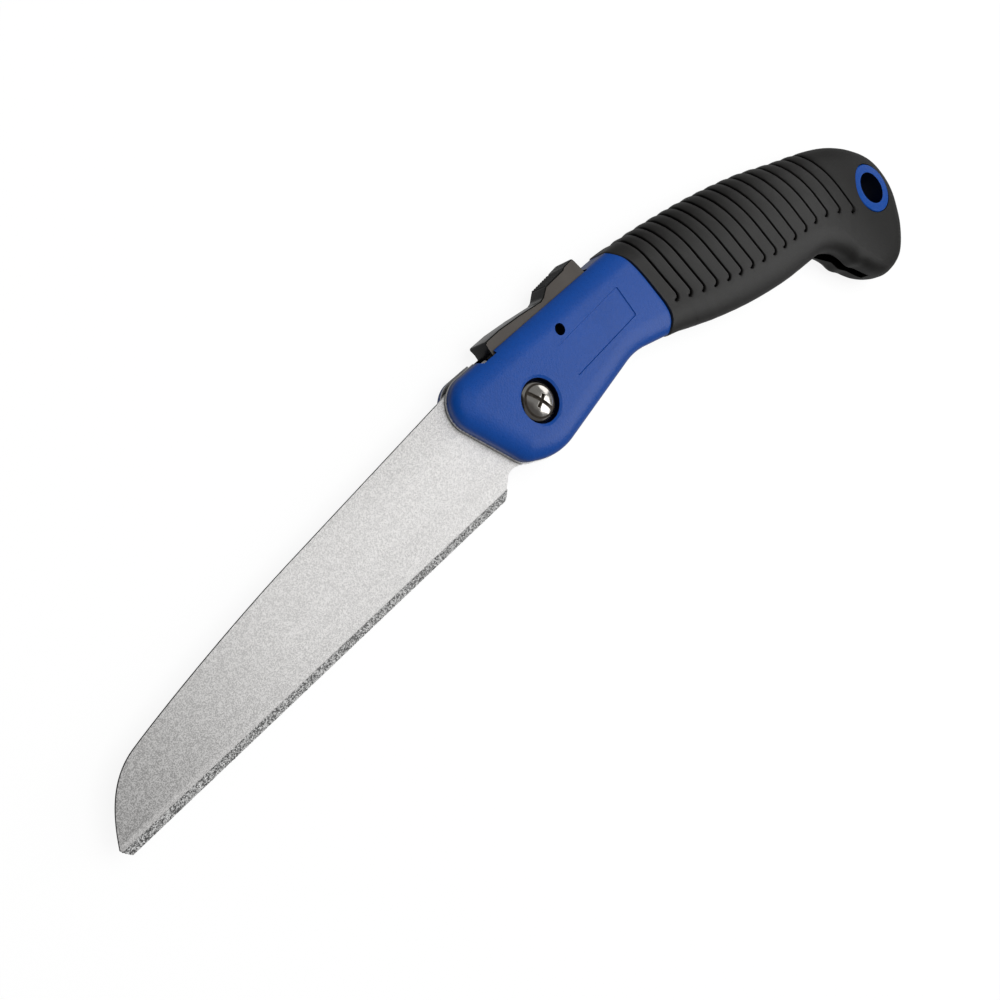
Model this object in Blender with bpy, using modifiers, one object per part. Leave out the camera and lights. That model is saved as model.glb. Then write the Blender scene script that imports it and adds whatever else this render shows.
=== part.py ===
"""Folding saw with an abrasive edge, modelled open and lying on its far side.

The saw is drawn about its pivot: X runs to the butt of the handle, Y to the spine,
Z to the near face, and the middle of the blade is at Z = 0. The root empty then
stands the whole saw on the XY plane, under the middle of its own box.
All lengths are in metres and all angles in degrees.
"""
import math

import bmesh
import bpy
from mathutils import Matrix, Vector

# Clearances
SEAT_GAP = 0.00020          # between pieces that are clamped or moulded together
RUN_GAP = 0.00035           # between pieces that move past each other
FACET_GAP = 0.00015         # between flat plates in the pivot stack
CUT_REACH = 0.020           # how far a cutter reaches past what it cuts

# Blade, seen from the near face
BLADE_THICKNESS = 0.0012
TIP_UNDER = (-0.1768, -0.0224)
TIP_FRONT = (-0.1786, -0.0197)
TIP_PULLS = ((-0.1744, -0.0110), (-0.1691, -0.0038))
TIP_SHOULDER = (-0.1605, -0.0017)
SPINE_PULLS = ((-0.1455, 0.0021), (-0.1155, 0.0077))
SPINE_BEND = (-0.0950, 0.0102)
SPINE_ROOT = (-0.0290, 0.0187)
HEEL = (-0.0276, -0.0187)
HEEL_ROUND = 0.0018
TANG_TOP_Y = 0.0202
TANG_TOP_X = -0.0185
TANG_RADIUS = 0.0153
TANG_STOP_RADIUS = 0.0163
NOTCH_DEPTH = 0.0014
FOLD_ANGLE = 170.0
CHOIL_WALL = 0.0006         # between the folded blade and the lever's boss

# Abrasive band brazed round the cutting edge
GRIT_BAND_WIDTH = 0.0021
GRIT_COAT = 0.00040
GRIT_BOND = 0.00010

# Pivot
PIVOT_SLEEVE_RADIUS = 0.0040
PIVOT_SCREW_RADIUS = 0.0025
SCREW_HEAD_RADIUS = 0.0062
SCREW_HEAD_RIM = 0.0009
SCREW_DOME = 0.0016
SCREW_SLOT_WIDTH = 0.0011
SCREW_SLOT_DEPTH = 0.0011
SCREW_SLOT_ANGLE = 118.0
CROSS_LENGTH = 0.0064
CROSS_DEPTH = 0.0016
NUT_HEAD_HEIGHT = 0.0022
COUNTERBORE_RADIUS = 0.0075
COUNTERBORE_DEPTH = 0.0030
COUNTERBORE_FLARE = 0.0009
COUNTERBORE_FLARE_DEPTH = 0.0004
WASHER_RADIUS = 0.0078
WASHER_THICKNESS = 0.00040
LINER_THICKNESS = 0.00060
LINER_INSET = 0.00010
LINER_REAR_X = 0.0560

# Handle head, a flat moulding whose faces fall away broadly to a soft rim
HEAD_HALF = 0.0074
HEAD_ROUND_WIDTH = 0.0080
HEAD_ROUND_DEPTH = 0.0037
HEAD_ROUND_STEPS = 6
HEAD_CORNERS = [            # X, Y and fillet radius, from the spine round the nose
    (0.0900, 0.0253, 0.0),
    (-0.0346, 0.0208, 0.0094),
    (-0.0156, -0.0131, 0.0082),
    (-0.0032, -0.0187, 0.0259),
    (0.0460, -0.0089, 0.0260),
    (0.0900, -0.0180, 0.0),
]
HEAD_END = [                # where the rubber starts, from the spine to the belly
    (0.0562, 0.0300),
    (0.0572, 0.0245),
    (0.0612, 0.0190),
    (0.0637, 0.0120),
    (0.0652, 0.0040),
    (0.0662, -0.0030),
    (0.0655, -0.0080),
    (0.0628, -0.0125),
    (0.0600, -0.0200),
]

# Grip: spine X, Y, belly X, Y, half thickness, then the rounding in plan and in
# depth on the spine side and on the belly side
GRIP_STATIONS = [
    (0.0440, 0.0240, 0.0440, -0.0093, 0.0077, 0.0085, 0.0039, 0.0080, 0.0039),
    (0.0580, 0.0245, 0.0580, -0.0118, 0.0079, 0.0090, 0.0043, 0.0080, 0.0040),
    (0.0700, 0.0243, 0.0700, -0.0145, 0.0084, 0.0105, 0.0064, 0.0085, 0.0046),
    (0.0850, 0.0234, 0.0860, -0.0195, 0.0092, 0.0165, 0.0087, 0.0105, 0.0056),
    (0.1100, 0.0207, 0.1060, -0.0241, 0.0100, 0.0205, 0.0097, 0.0130, 0.0062),
    (0.1350, 0.0166, 0.1260, -0.0270, 0.0102, 0.0210, 0.0099, 0.0130, 0.0062),
    (0.1560, 0.0114, 0.1410, -0.0279, 0.0101, 0.0210, 0.0098, 0.0120, 0.0060),
    (0.1740, 0.0070, 0.1512, -0.0284, 0.0100, 0.0210, 0.0097, 0.0100, 0.0056),
    (0.1883, 0.0022, 0.1584, -0.0315, 0.0099, 0.0205, 0.0096, 0.0085, 0.0052),
    (0.2001, -0.0047, 0.1627, -0.0362, 0.0098, 0.0200, 0.0095, 0.0075, 0.0049),
    (0.2087, -0.0136, 0.1648, -0.0407, 0.0097, 0.0200, 0.0094, 0.0070, 0.0048),
    (0.2116, -0.0256, 0.1682, -0.0437, 0.0095, 0.0190, 0.0092, 0.0065, 0.0048),
    (0.2086, -0.0368, 0.1706, -0.0464, 0.0092, 0.0170, 0.0089, 0.0060, 0.0047),
    (0.2041, -0.0448, 0.1734, -0.0495, 0.0084, 0.0140, 0.0081, 0.0060, 0.0045),
    (0.1982, -0.0510, 0.1771, -0.0525, 0.0068, 0.0090, 0.0065, 0.0050, 0.0042),
    (0.1923, -0.0542, 0.1813, -0.0547, 0.0040, 0.0045, 0.0037, 0.0035, 0.0028),
    (0.1885, -0.0548, 0.1848, -0.0552, 0.0012, 0.0012, 0.0009, 0.0012, 0.0009),
]
OUTER_RINGS = 40
INNER_RINGS = 26
RUBBER_WALL = 0.0022
GROOVES_PER_END = 3         # grooves from one listed end to the next
GROOVE_ENDS = [             # lower ends of every third groove, on the near face
    (0.0713, -0.0037),
    (0.0912, -0.0094),
    (0.1119, -0.0131),
    (0.1328, -0.0159),
    (0.1539, -0.0166),
    (0.1766, -0.0237),
]
GROOVE_HALF_WIDTH = 0.00045
GROOVE_DEPTH = 0.00080
GROOVE_HOOK = 0.0017
GROOVE_SLANT = 9.0          # degrees by which the grooves lean towards the head at the spine
GROOVE_STEPS = 7

# Hanging eyelet
EYELET_AT = (0.1929, -0.0216)
EYELET_RADIUS = 0.0102
EYELET_HOLE_RADIUS = 0.0066
EYELET_HALF = 0.0090
EYELET_SLOPE = (0.07, 0.09)
EYELET_CHAMFER = 0.0006

# Blade slot
SLOT_HALF = 0.0019
SLOT_FLOOR_GAP = 0.0015
SLOT_END_GAP = 0.0018

# Label recess, left bare
LABEL_AT = (0.0348, 0.0056)
LABEL_LENGTH = 0.0345
LABEL_WIDTH = 0.0116
LABEL_ANGLE = 5.1
LABEL_ROUND = 0.0006
LABEL_DEPTH = 0.00035

# Lock lever
LEVER_PIN_AT = (0.0216, 0.0140)
LEVER_PIN_RADIUS = 0.0019
LEVER_PIN_RECESS = 0.0026
LEVER_HALF = 0.0043
LEVER_BOSS_RADIUS = 0.0044
LEVER_NOSE_X = -0.0044
LEVER_NOSE_Y = 0.0254
LEVER_NOSE_UNDER_Y = 0.0196
LEVER_WAIST = (0.0235, 0.0246)
LEVER_RAMP_FOOT = (0.0252, 0.0251)
LEVER_PAD_FRONT = (0.0284, 0.0275)
LEVER_PAD_STEP = (0.0379, 0.0284)
LEVER_PAD_BUMP = (0.0388, 0.0290)
LEVER_PAD_REAR = (0.0438, 0.0296)
LEVER_REAR = (0.0455, 0.0238)
LEVER_REAR_UNDER_Y = 0.0222
LEVER_UNDER_REAR = (0.0311, 0.0210)
LEVER_UNDER_FRONT = (0.0252, 0.0194)
LEVER_FLARE_Y = 0.0228      # the sides start to widen here, clear of the head's cheeks
LEVER_WIDTHS = [            # X and half width along the top
    (-0.0044, 0.0050),
    (0.0130, 0.0044),
    (0.0235, 0.0039),
    (0.0284, 0.0044),
    (0.0438, 0.0045),
]
LEVER_RIM_ROUND = 0.0004
LEVER_RIDGES = 8
LEVER_RIDGE_HEIGHT = 0.00050
LEVER_TRAVEL = 7.0
BAY_FLOOR_Y = 0.0183
BAY_CORNER_ANGLE = 45.0     # the bay follows the boss round to here, then slopes up to its floor
BAY_CORNER_X = 0.0264
BAY_WEB_X = 0.0288
BAY_REAR_GAP = 0.0014       # the lever's rear swings back by most of this when it is pressed

# Locking pawl, a steel plate inside the lever
PAWL_HALF = 0.0010
PAWL_RING_RADIUS = 0.0034
PAWL_TOP_Y = 0.0226
PAWL_ARM_DROP = 0.0010      # how far the arm stands below the lever's nose
PAWL_REAR_X = 0.0006
LEVER_NOSE_WALL = 0.0010    # lever material ahead of the pawl
PAWL_TIP_RISE = 0.0003      # between the tooth and the tang's rim

# Lever spring
SPRING_X = 0.0380
SPRING_RADIUS = 0.0022
SPRING_WIRE_RADIUS = 0.00035
SPRING_TURNS = 5
SPRING_POINTS = 10
SPRING_SEAT_DEPTH = 0.0006
SPRING_POCKET_TOP_Y = 0.0252

# Fineness
PIVOT_SIDES = 40
SMALL_SIDES = 24


# Plan geometry

def polar(radius, angle, centre=(0.0, 0.0)):
    """Point at a radius and an angle from a centre."""
    turn = math.radians(angle)
    return (centre[0] + radius * math.cos(turn), centre[1] + radius * math.sin(turn))


def arc(centre, radius, start, end, steps):
    """Points along an arc, both ends included."""
    return [polar(radius, start + (end - start) * step / steps, centre) for step in range(steps + 1)]


def turned_by(point, angle):
    """Point turned about the pivot."""
    spun = Matrix.Rotation(math.radians(angle), 2) @ Vector(point)
    return (spun.x, spun.y)


def fillet(before, corner, after, radius, steps):
    """Arc that rounds one corner of an outline."""
    here = Vector(corner)
    back = (Vector(before) - here).normalized()
    ahead = (Vector(after) - here).normalized()
    half = back.angle(ahead) / 2
    reach = radius / math.tan(half)
    middle = here + (back + ahead).normalized() * (radius / math.sin(half))
    first = here + back * reach - middle
    last = here + ahead * reach - middle
    sweep = first.angle_signed(last)
    return [tuple(middle + Matrix.Rotation(-sweep * step / steps, 2) @ first) for step in range(steps + 1)]


def rounded(corners, steps=6):
    """Closed outline from corners given as X, Y and fillet radius."""
    points = []
    for index, (x, y, radius) in enumerate(corners):
        before = corners[index - 1]
        after = corners[(index + 1) % len(corners)]
        if radius > 0:
            points += fillet(before[:2], (x, y), after[:2], radius, steps)
        else:
            points.append((x, y))
    return points


def cubic(start, pull_start, pull_end, end, steps):
    """Points along a cubic Bezier curve, both ends included."""
    points = []
    for step in range(steps + 1):
        t = step / steps
        weights = ((1 - t) ** 3, 3 * t * (1 - t) ** 2, 3 * t * t * (1 - t), t ** 3)
        controls = (start, pull_start, pull_end, end)
        points.append(tuple(sum(w * c[axis] for w, c in zip(weights, controls)) for axis in (0, 1)))
    return points


def spline_at(rows, place):
    """Catmull-Rom value of a list of equal-length rows at a fractional index."""
    last = len(rows) - 1
    low = min(int(place), last - 1)
    t = place - low
    a, b, c, d = (rows[min(max(low + shift, 0), last)] for shift in (-1, 0, 1, 2))
    return tuple(
        0.5 * (2 * q + (r - p) * t + (2 * p - 5 * q + 4 * r - s) * t * t + (3 * q - p - 3 * r + s) * t ** 3)
        for p, q, r, s in zip(a, b, c, d)
    )


def line_y(start, end, x):
    """Height of the line through two points at X."""
    return start[1] + (end[1] - start[1]) * (x - start[0]) / (end[0] - start[0])


# Mesh helpers

def new_piece(name, mesh, collection, parent):
    """Object in a collection, under a parent empty."""
    piece = bpy.data.objects.new(name, mesh)
    collection.objects.link(piece)
    piece.parent = parent
    return piece


def mesh_from_bmesh(name, shape):
    """Mesh data from a bmesh, which is freed."""
    mesh = bpy.data.meshes.new(name)
    shape.to_mesh(mesh)
    shape.free()
    return mesh


def plate(name, outline, low, high, collection, parent):
    """Flat plate cut to an outline: a filled 2D curve with a thickness, made a mesh."""
    curve = bpy.data.curves.new(name + "_outline", "CURVE")
    curve.dimensions = "2D"
    curve.fill_mode = "BOTH"
    curve.extrude = (high - low) / 2
    spline = curve.splines.new("POLY")
    spline.points.add(len(outline) - 1)
    for point, (x, y) in zip(spline.points, outline):
        point.co = (x, y, 0.0, 1.0)
    spline.use_cyclic_u = True
    drawn = bpy.data.objects.new(name + "_curve", curve)
    drawn.location.z = (low + high) / 2
    collection.objects.link(drawn)
    bpy.context.view_layer.update()
    graph = bpy.context.evaluated_depsgraph_get()
    mesh = bpy.data.meshes.new_from_object(drawn.evaluated_get(graph))
    mesh.transform(drawn.matrix_world)
    bpy.data.objects.remove(drawn)
    bpy.data.curves.remove(curve)
    shape = bmesh.new()
    shape.from_mesh(mesh)
    bmesh.ops.remove_doubles(shape, verts=shape.verts, dist=1e-6)
    bmesh.ops.recalc_face_normals(shape, faces=shape.faces)
    shape.to_mesh(mesh)
    shape.free()
    mesh.name = name
    return new_piece(name, mesh, collection, parent)


def cylinder(name, centre, radius, low, high, sides, collection, parent, slope=(0.0, 0.0)):
    """Upright cylinder; a slope makes it thinner towards +X and +Y."""
    shape = bmesh.new()
    bmesh.ops.create_cone(
        shape, cap_ends=True, segments=sides, radius1=radius, radius2=radius, depth=high - low
    )
    for vertex in shape.verts:
        way = 1.0 if vertex.co.z > 0 else -1.0
        vertex.co.z += (low + high) / 2 - way * (slope[0] * vertex.co.x + slope[1] * vertex.co.y)
        vertex.co.x += centre[0]
        vertex.co.y += centre[1]
    return new_piece(name, mesh_from_bmesh(name, shape), collection, parent)


def turned_piece(name, profile, sides, collection, parent, closed=False):
    """Solid of revolution about Z from a profile at +X, given from top to bottom."""
    shape = bmesh.new()
    corners = [shape.verts.new((radius, 0.0, height)) for radius, height in profile]
    for first, second in zip(corners, corners[1:] + corners[:1] * closed):
        shape.edges.new((first, second))
    piece = new_piece(name, mesh_from_bmesh(name, shape), collection, parent)
    screw = piece.modifiers.new("Turn", "SCREW")
    screw.steps = sides
    screw.render_steps = sides
    screw.use_merge_vertices = True
    screw.merge_threshold = 0.00001
    return piece


def ring_piece(name, profile, sides, collection, parent):
    """Ring turned about Z from a closed profile that stays off the axis."""
    return turned_piece(name, profile, sides, collection, parent, closed=True)


def boolean(piece, cutter, operation="DIFFERENCE"):
    """Exact Boolean that stays on the piece."""
    step = piece.modifiers.new(cutter.name, "BOOLEAN")
    step.operation = operation
    step.solver = "EXACT"
    step.object = cutter
    cutter.hide_render = True
    cutter.display_type = "WIRE"


def smooth(piece, angle=35.0):
    """Smooth shading that keeps sharp edges."""
    piece.data.shade_smooth()
    piece.data.set_sharp_from_angle(angle=math.radians(angle))


def round_edges(piece, width, segments, angle=50.0):
    """Rounded edges by a Bevel modifier."""
    bevel = piece.modifiers.new("Rounded edges", "BEVEL")
    bevel.width = width
    bevel.segments = segments
    bevel.limit_method = "ANGLE"
    bevel.angle_limit = math.radians(angle)


def material(name, colour, roughness, metallic=0.0):
    """Principled material."""
    finish = bpy.data.materials.new(name)
    finish.use_nodes = True
    shader = finish.node_tree.nodes["Principled BSDF"]
    shader.inputs["Base Color"].default_value = (*colour, 1.0)
    shader.inputs["Roughness"].default_value = roughness
    shader.inputs["Metallic"].default_value = metallic
    return finish


# Heights of the pivot stack, from the middle of the blade to the near face

BLADE_HALF = BLADE_THICKNESS / 2
WASHER_LOW = BLADE_HALF + FACET_GAP
WASHER_HIGH = WASHER_LOW + WASHER_THICKNESS
LINER_LOW = WASHER_HIGH + FACET_GAP
LINER_HIGH = LINER_LOW + LINER_THICKNESS
CHEEK_LOW = LINER_HIGH + FACET_GAP
SEAT_HEIGHT = HEAD_HALF - COUNTERBORE_DEPTH
SLEEVE_BORE_RADIUS = PIVOT_SLEEVE_RADIUS + FACET_GAP


# Blade

def choil_centre():
    """Where the lever's pin lies in the blade's own plan when the blade is folded."""
    return turned_by(LEVER_PIN_AT, -FOLD_ANGLE)


def blade_outline():
    """Outline of the blade and its tang, clockwise from the locking shoulder."""
    floor_radius = TANG_RADIUS - NOTCH_DEPTH
    shoulder_x = LEVER_NOSE_X - RUN_GAP
    shoulder_angle = math.degrees(math.acos(shoulder_x / floor_radius))
    tooth_rear = math.degrees(math.acos(PAWL_REAR_X / TANG_RADIUS)) - 1.5
    fold_front = shoulder_angle - FOLD_ANGLE
    fold_rear = tooth_rear - FOLD_ANGLE
    choil = choil_centre()
    choil_radius = LEVER_BOSS_RADIUS + CHOIL_WALL
    points = [(shoulder_x, TANG_TOP_Y)]
    points += arc((0, 0), floor_radius, shoulder_angle, tooth_rear, 3)
    points += arc((0, 0), TANG_RADIUS, tooth_rear, fold_front, 24)
    points += arc((0, 0), floor_radius, fold_front, fold_rear, 3)
    points += arc((0, 0), TANG_STOP_RADIUS, fold_rear - 0.8, -104.0, 3)
    points += arc(choil, choil_radius, 66.0, 138.0, 7)
    points += fillet(points[-1], HEEL, TIP_UNDER, HEEL_ROUND, 4)
    points.append(TIP_UNDER)
    points += cubic(TIP_FRONT, *TIP_PULLS, TIP_SHOULDER, 8)
    points += cubic(TIP_SHOULDER, *SPINE_PULLS, SPINE_BEND, 5)[1:]
    points += [SPINE_ROOT, (TANG_TOP_X, TANG_TOP_Y)]
    return points


def make_blade(parts, cutters, pivot, steel):
    blade = plate("blade", blade_outline(), -BLADE_HALF, BLADE_HALF, parts, pivot)
    bore = cylinder(
        "blade_bore", (0, 0), SLEEVE_BORE_RADIUS, -HEAD_HALF, HEAD_HALF, PIVOT_SIDES, cutters, pivot
    )
    boolean(blade, bore)
    smooth(blade)
    blade.data.materials.append(steel)


def edge_strip():
    """Strip along the cutting edge that the abrasive covers, from over the choil to past the tip."""
    heel = Vector(HEEL)
    tip = Vector(TIP_UNDER)
    along = (tip - heel).normalized()
    inward = Vector((along.y, -along.x))
    start = heel - along * (heel - Vector(choil_centre())).dot(along)
    end = tip + along * CUT_REACH
    corners = (
        start + inward * GRIT_BAND_WIDTH, end + inward * GRIT_BAND_WIDTH,
        end - inward * CUT_REACH, start - inward * CUT_REACH,
    )
    return [tuple(corner) for corner in corners]


def make_abrasive_edge(parts, cutters, pivot, grit):
    """Coating wrapped round the cutting edge, as a channel that the blade's edge fills."""
    inner = BLADE_HALF + GRIT_BOND
    outer = inner + GRIT_COAT
    band = plate(
        "abrasive_edge", grown(blade_outline(), GRIT_BOND + GRIT_COAT), -outer, outer, parts, pivot
    )
    boolean(band, plate("edge_strip", edge_strip(), -CUT_REACH, CUT_REACH, cutters, pivot), "INTERSECT")
    boolean(band, plate("blade_in_band", grown(blade_outline(), GRIT_BOND), -inner, inner, cutters, pivot))
    smooth(band)
    band.data.materials.append(grit)


def grown(outline, amount):
    """Outline moved outwards by an amount, corner by corner."""
    area = sum(p[0] * q[1] - q[0] * p[1] for p, q in zip(outline, outline[1:] + outline[:1]))
    side = 1.0 if area > 0 else -1.0
    points = []
    for index, point in enumerate(outline):
        before = Vector(outline[index - 1])
        here = Vector(point)
        after = Vector(outline[(index + 1) % len(outline)])
        one = (here - before).normalized()
        two = (after - here).normalized()
        first = Vector((one.y, -one.x)) * side
        second = Vector((two.y, -two.x)) * side
        bisector = first + second
        if bisector.length < 1e-6:
            bisector = first
        bisector.normalize()
        reach = amount / max(bisector.dot(first), 0.35)
        points.append(tuple(here + bisector * reach))
    return points


# Grip surface

def grip_section(place, inset, steps, flats):
    """Closed ring of the handle's body at a place along it, moved in by an inset."""
    spine_x, spine_y, belly_x, belly_y, half, spine_r, spine_e, belly_r, belly_e = spline_at(
        GRIP_STATIONS, place
    )
    top = Vector((spine_x, spine_y))
    bottom = Vector((belly_x, belly_y))
    down = (bottom - top).normalized()
    top = top + down * inset
    bottom = bottom - down * inset
    height = (bottom - top).length
    half = half - inset
    least = 0.0004
    spine_r = min(max(spine_r - inset, least), height * 0.48)
    belly_r = min(max(belly_r - inset, least), height * 0.48)
    spine_e = min(max(spine_e - inset, least), half - least / 2)
    belly_e = min(max(belly_e - inset, least), half - least / 2)
    near = []
    for step in range(steps + 1):
        turn = math.pi / 2 * step / steps
        spot = top + down * spine_r * (1 - math.cos(turn))
        near.append((spot.x, spot.y, half - spine_e + spine_e * math.sin(turn)))
    for step in range(1, flats + 1):
        spot = top + down * (spine_r + (height - spine_r - belly_r) * step / (flats + 1))
        near.append((spot.x, spot.y, half))
    for step in range(steps, -1, -1):
        turn = math.pi / 2 * step / steps
        spot = bottom - down * belly_r * (1 - math.cos(turn))
        near.append((spot.x, spot.y, half - belly_e + belly_e * math.sin(turn)))
    far = [(x, y, -z) for x, y, z in reversed(near)]
    return near + far


def grip_body(name, inset, rings, steps, flats, end_trim, collection, parent):
    """Loft through the handle's sections, capped at both ends."""
    shape = bmesh.new()
    last = len(GRIP_STATIONS) - 1 - end_trim
    loops = []
    for ring in range(rings):
        section = grip_section(last * ring / (rings - 1), inset, steps, flats)
        loops.append([shape.verts.new(point) for point in section])
    for one, two in zip(loops, loops[1:]):
        for index in range(len(one)):
            after = (index + 1) % len(one)
            shape.faces.new((one[index], one[after], two[after], two[index]))
    shape.faces.new(loops[0])
    shape.faces.new(list(reversed(loops[-1])))
    bmesh.ops.recalc_face_normals(shape, faces=shape.faces)
    return new_piece(name, mesh_from_bmesh(name, shape), collection, parent)


def grip_point(place, share, inset=0.0):
    """Point on the near side: share 0 at the spine's middle line, 1 at the belly's."""
    section = grip_section(place, inset, 12, 8)
    near = [Vector(point) for point in section[: len(section) // 2]]
    near.insert(0, Vector((near[0].x, near[0].y, 0.0)))
    lengths = [0.0]
    for one, two in zip(near, near[1:]):
        lengths.append(lengths[-1] + (two - one).length)
    goal = lengths[-1] * share
    for index in range(len(near) - 1):
        if goal <= lengths[index + 1]:
            t = (goal - lengths[index]) / max(lengths[index + 1] - lengths[index], 1e-9)
            return near[index].lerp(near[index + 1], t)
    return near[-1]


def along_ribs(x, y):
    """Distance along the handle that is the same all along one slanted groove."""
    return x + math.tan(math.radians(GROOVE_SLANT)) * y


def place_at(along, share):
    """Fractional station whose surface point at a share is that far along the ribs."""
    low, high = 0.5, len(GRIP_STATIONS) - 5.0
    for _ in range(20):
        middle = (low + high) / 2
        point = grip_point(middle, share)
        if along_ribs(point.x, point.y) < along:
            low = middle
        else:
            high = middle
    return (low + high) / 2


def share_at(along, y):
    """Share at which the near side's surface, that far along the ribs, has the given Y."""
    low, high = 0.2, 0.9
    for _ in range(16):
        middle = (low + high) / 2
        if grip_point(place_at(along, middle), middle).y > y:
            low = middle
        else:
            high = middle
    return (low + high) / 2


def groove_spot(along, share):
    """Surface point and outward direction that far along the ribs, at a share."""
    place = place_at(along, share)
    spot = grip_point(place, share)
    return spot, (spot - grip_point(place, share, 0.0010)).normalized()


def groove_path(index):
    """One groove from its hooked end on the near face over the spine to the far face."""
    end_x, end_y = spline_at(GROOVE_ENDS, index / GROOVES_PER_END)
    line = along_ribs(end_x + GROOVE_HOOK, end_y + GROOVE_HOOK)
    end_share = share_at(line, end_y + GROOVE_HOOK)
    near = [groove_spot(line, end_share * step / GROOVE_STEPS) for step in range(GROOVE_STEPS + 1)]
    for hook_x, hook_y in (
        (end_x + GROOVE_HOOK * 0.75, end_y + GROOVE_HOOK * 0.30),
        (end_x, end_y),
    ):
        along = along_ribs(hook_x, hook_y)
        near.append(groove_spot(along, share_at(along, hook_y)))
    far = [(Vector((p.x, p.y, -p.z)), Vector((n.x, n.y, -n.z))) for p, n in near[1:]]
    return list(reversed(near)) + far


def groove_mesh(name, paths):
    """Diamond-section bars along surface paths, each one closed body."""
    shape = bmesh.new()
    for path in paths:
        rings = []
        for index, (point, outward) in enumerate(path):
            ahead = path[min(index + 1, len(path) - 1)][0] - path[max(index - 1, 0)][0]
            side = ahead.cross(outward).normalized() * GROOVE_HALF_WIDTH
            lift = outward * GROOVE_DEPTH
            rings.append([shape.verts.new(point + way) for way in (side, lift, -side, -lift)])
        for one, two in zip(rings, rings[1:]):
            for corner in range(4):
                after = (corner + 1) % 4
                shape.faces.new((one[corner], one[after], two[after], two[corner]))
        shape.faces.new(rings[0])
        shape.faces.new(list(reversed(rings[-1])))
    bmesh.ops.recalc_face_normals(shape, faces=shape.faces)
    return mesh_from_bmesh(name, shape)


# Slots and cut-outs

def slot_floor(x):
    """Height of the blade slot's floor, above the folded cutting edge."""
    heel = turned_by(HEEL, FOLD_ANGLE)
    tip = turned_by(TIP_UNDER, FOLD_ANGLE)
    return line_y(heel, tip, x) + GRIT_COAT + SLOT_FLOOR_GAP


def grip_slot_outline():
    """The blade's room in the grip: open at the belly, ended by an arc about the pivot."""
    reach = math.hypot(*TIP_FRONT) + GRIT_COAT + SLOT_END_GAP
    end_x = reach
    for _ in range(20):
        end_x = math.sqrt(reach ** 2 - slot_floor(end_x) ** 2)
    end_angle = math.degrees(math.atan2(slot_floor(end_x), end_x))
    points = [(BAY_WEB_X, -0.070), (polar(reach, -21.0)[0], -0.070)]
    points += arc((0, 0), reach, -21.0, end_angle, 8)
    points.append((BAY_WEB_X, slot_floor(BAY_WEB_X)))
    return points


def head_slot_outline():
    """The wider room for blade, washers and liners between the head's cheeks."""
    return [
        (-0.050, -0.050),
        (LINER_REAR_X + SEAT_GAP, -0.050),
        (LINER_REAR_X + SEAT_GAP, slot_floor(LINER_REAR_X)),
        (BAY_WEB_X, slot_floor(BAY_WEB_X)),
        (BAY_WEB_X, 0.050),
        (-0.050, 0.050),
    ]


def bay_outline(gap):
    """The lever's bay, open at the spine and round at the lever's boss."""
    floor_front = LEVER_NOSE_UNDER_Y - gap
    boss = LEVER_BOSS_RADIUS + gap
    start = 180.0 - math.degrees(math.asin(min((floor_front - LEVER_PIN_AT[1]) / boss, 0.98)))
    points = [(LEVER_NOSE_X - gap, 0.040), (LEVER_NOSE_X - gap, floor_front)]
    points += arc(LEVER_PIN_AT, boss, start, 360.0 + BAY_CORNER_ANGLE, 12)
    rear = LEVER_REAR[0] + BAY_REAR_GAP
    points += [(BAY_CORNER_X, BAY_FLOOR_Y), (rear, BAY_FLOOR_Y), (rear, 0.040)]
    return points


def head_outline(inset=0.0):
    """Outline of the head, moved in with its fillets kept concentric."""
    plan = grown([corner[:2] for corner in HEAD_CORNERS], -inset)
    corners = []
    for index, (_, _, radius) in enumerate(HEAD_CORNERS):
        here = Vector(plan[index])
        before = here - Vector(plan[index - 1])
        after = Vector(plan[(index + 1) % len(plan)]) - here
        hollow = before.cross(after) < 0
        if radius > 0:
            radius = radius + inset if hollow else max(radius - inset, 0.0006)
        corners.append((here.x, here.y, radius))
    return rounded(corners, 8)


def head_blank(name, collection, parent):
    """Head before it is cut: outlines stacked from the far face to the near one."""
    levels = []
    for step in range(HEAD_ROUND_STEPS + 1):
        turn = math.pi / 2 * step / HEAD_ROUND_STEPS
        height = HEAD_HALF - HEAD_ROUND_DEPTH * (1 - math.sin(turn))
        levels.append((HEAD_ROUND_WIDTH * (1 - math.cos(turn)), height))
    stack = [(inset, -height) for inset, height in reversed(levels)] + levels
    shape = bmesh.new()
    loops = []
    for inset, height in stack:
        loops.append([shape.verts.new((x, y, height)) for x, y in head_outline(inset)])
    for one, two in zip(loops, loops[1:]):
        for index in range(len(one)):
            after = (index + 1) % len(one)
            shape.faces.new((one[index], one[after], two[after], two[index]))
    shape.faces.new(loops[0])
    shape.faces.new(list(reversed(loops[-1])))
    bmesh.ops.recalc_face_normals(shape, faces=shape.faces)
    return new_piece(name, mesh_from_bmesh(name, shape), collection, parent)


def head_end_line(shift):
    """Boundary between head and rubber, moved along X."""
    rows = [(x + shift, y) for x, y in HEAD_END]
    count = 3 * (len(rows) - 1)
    return [spline_at(rows, (len(rows) - 1) * step / count) for step in range(count + 1)]


# Handle

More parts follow.
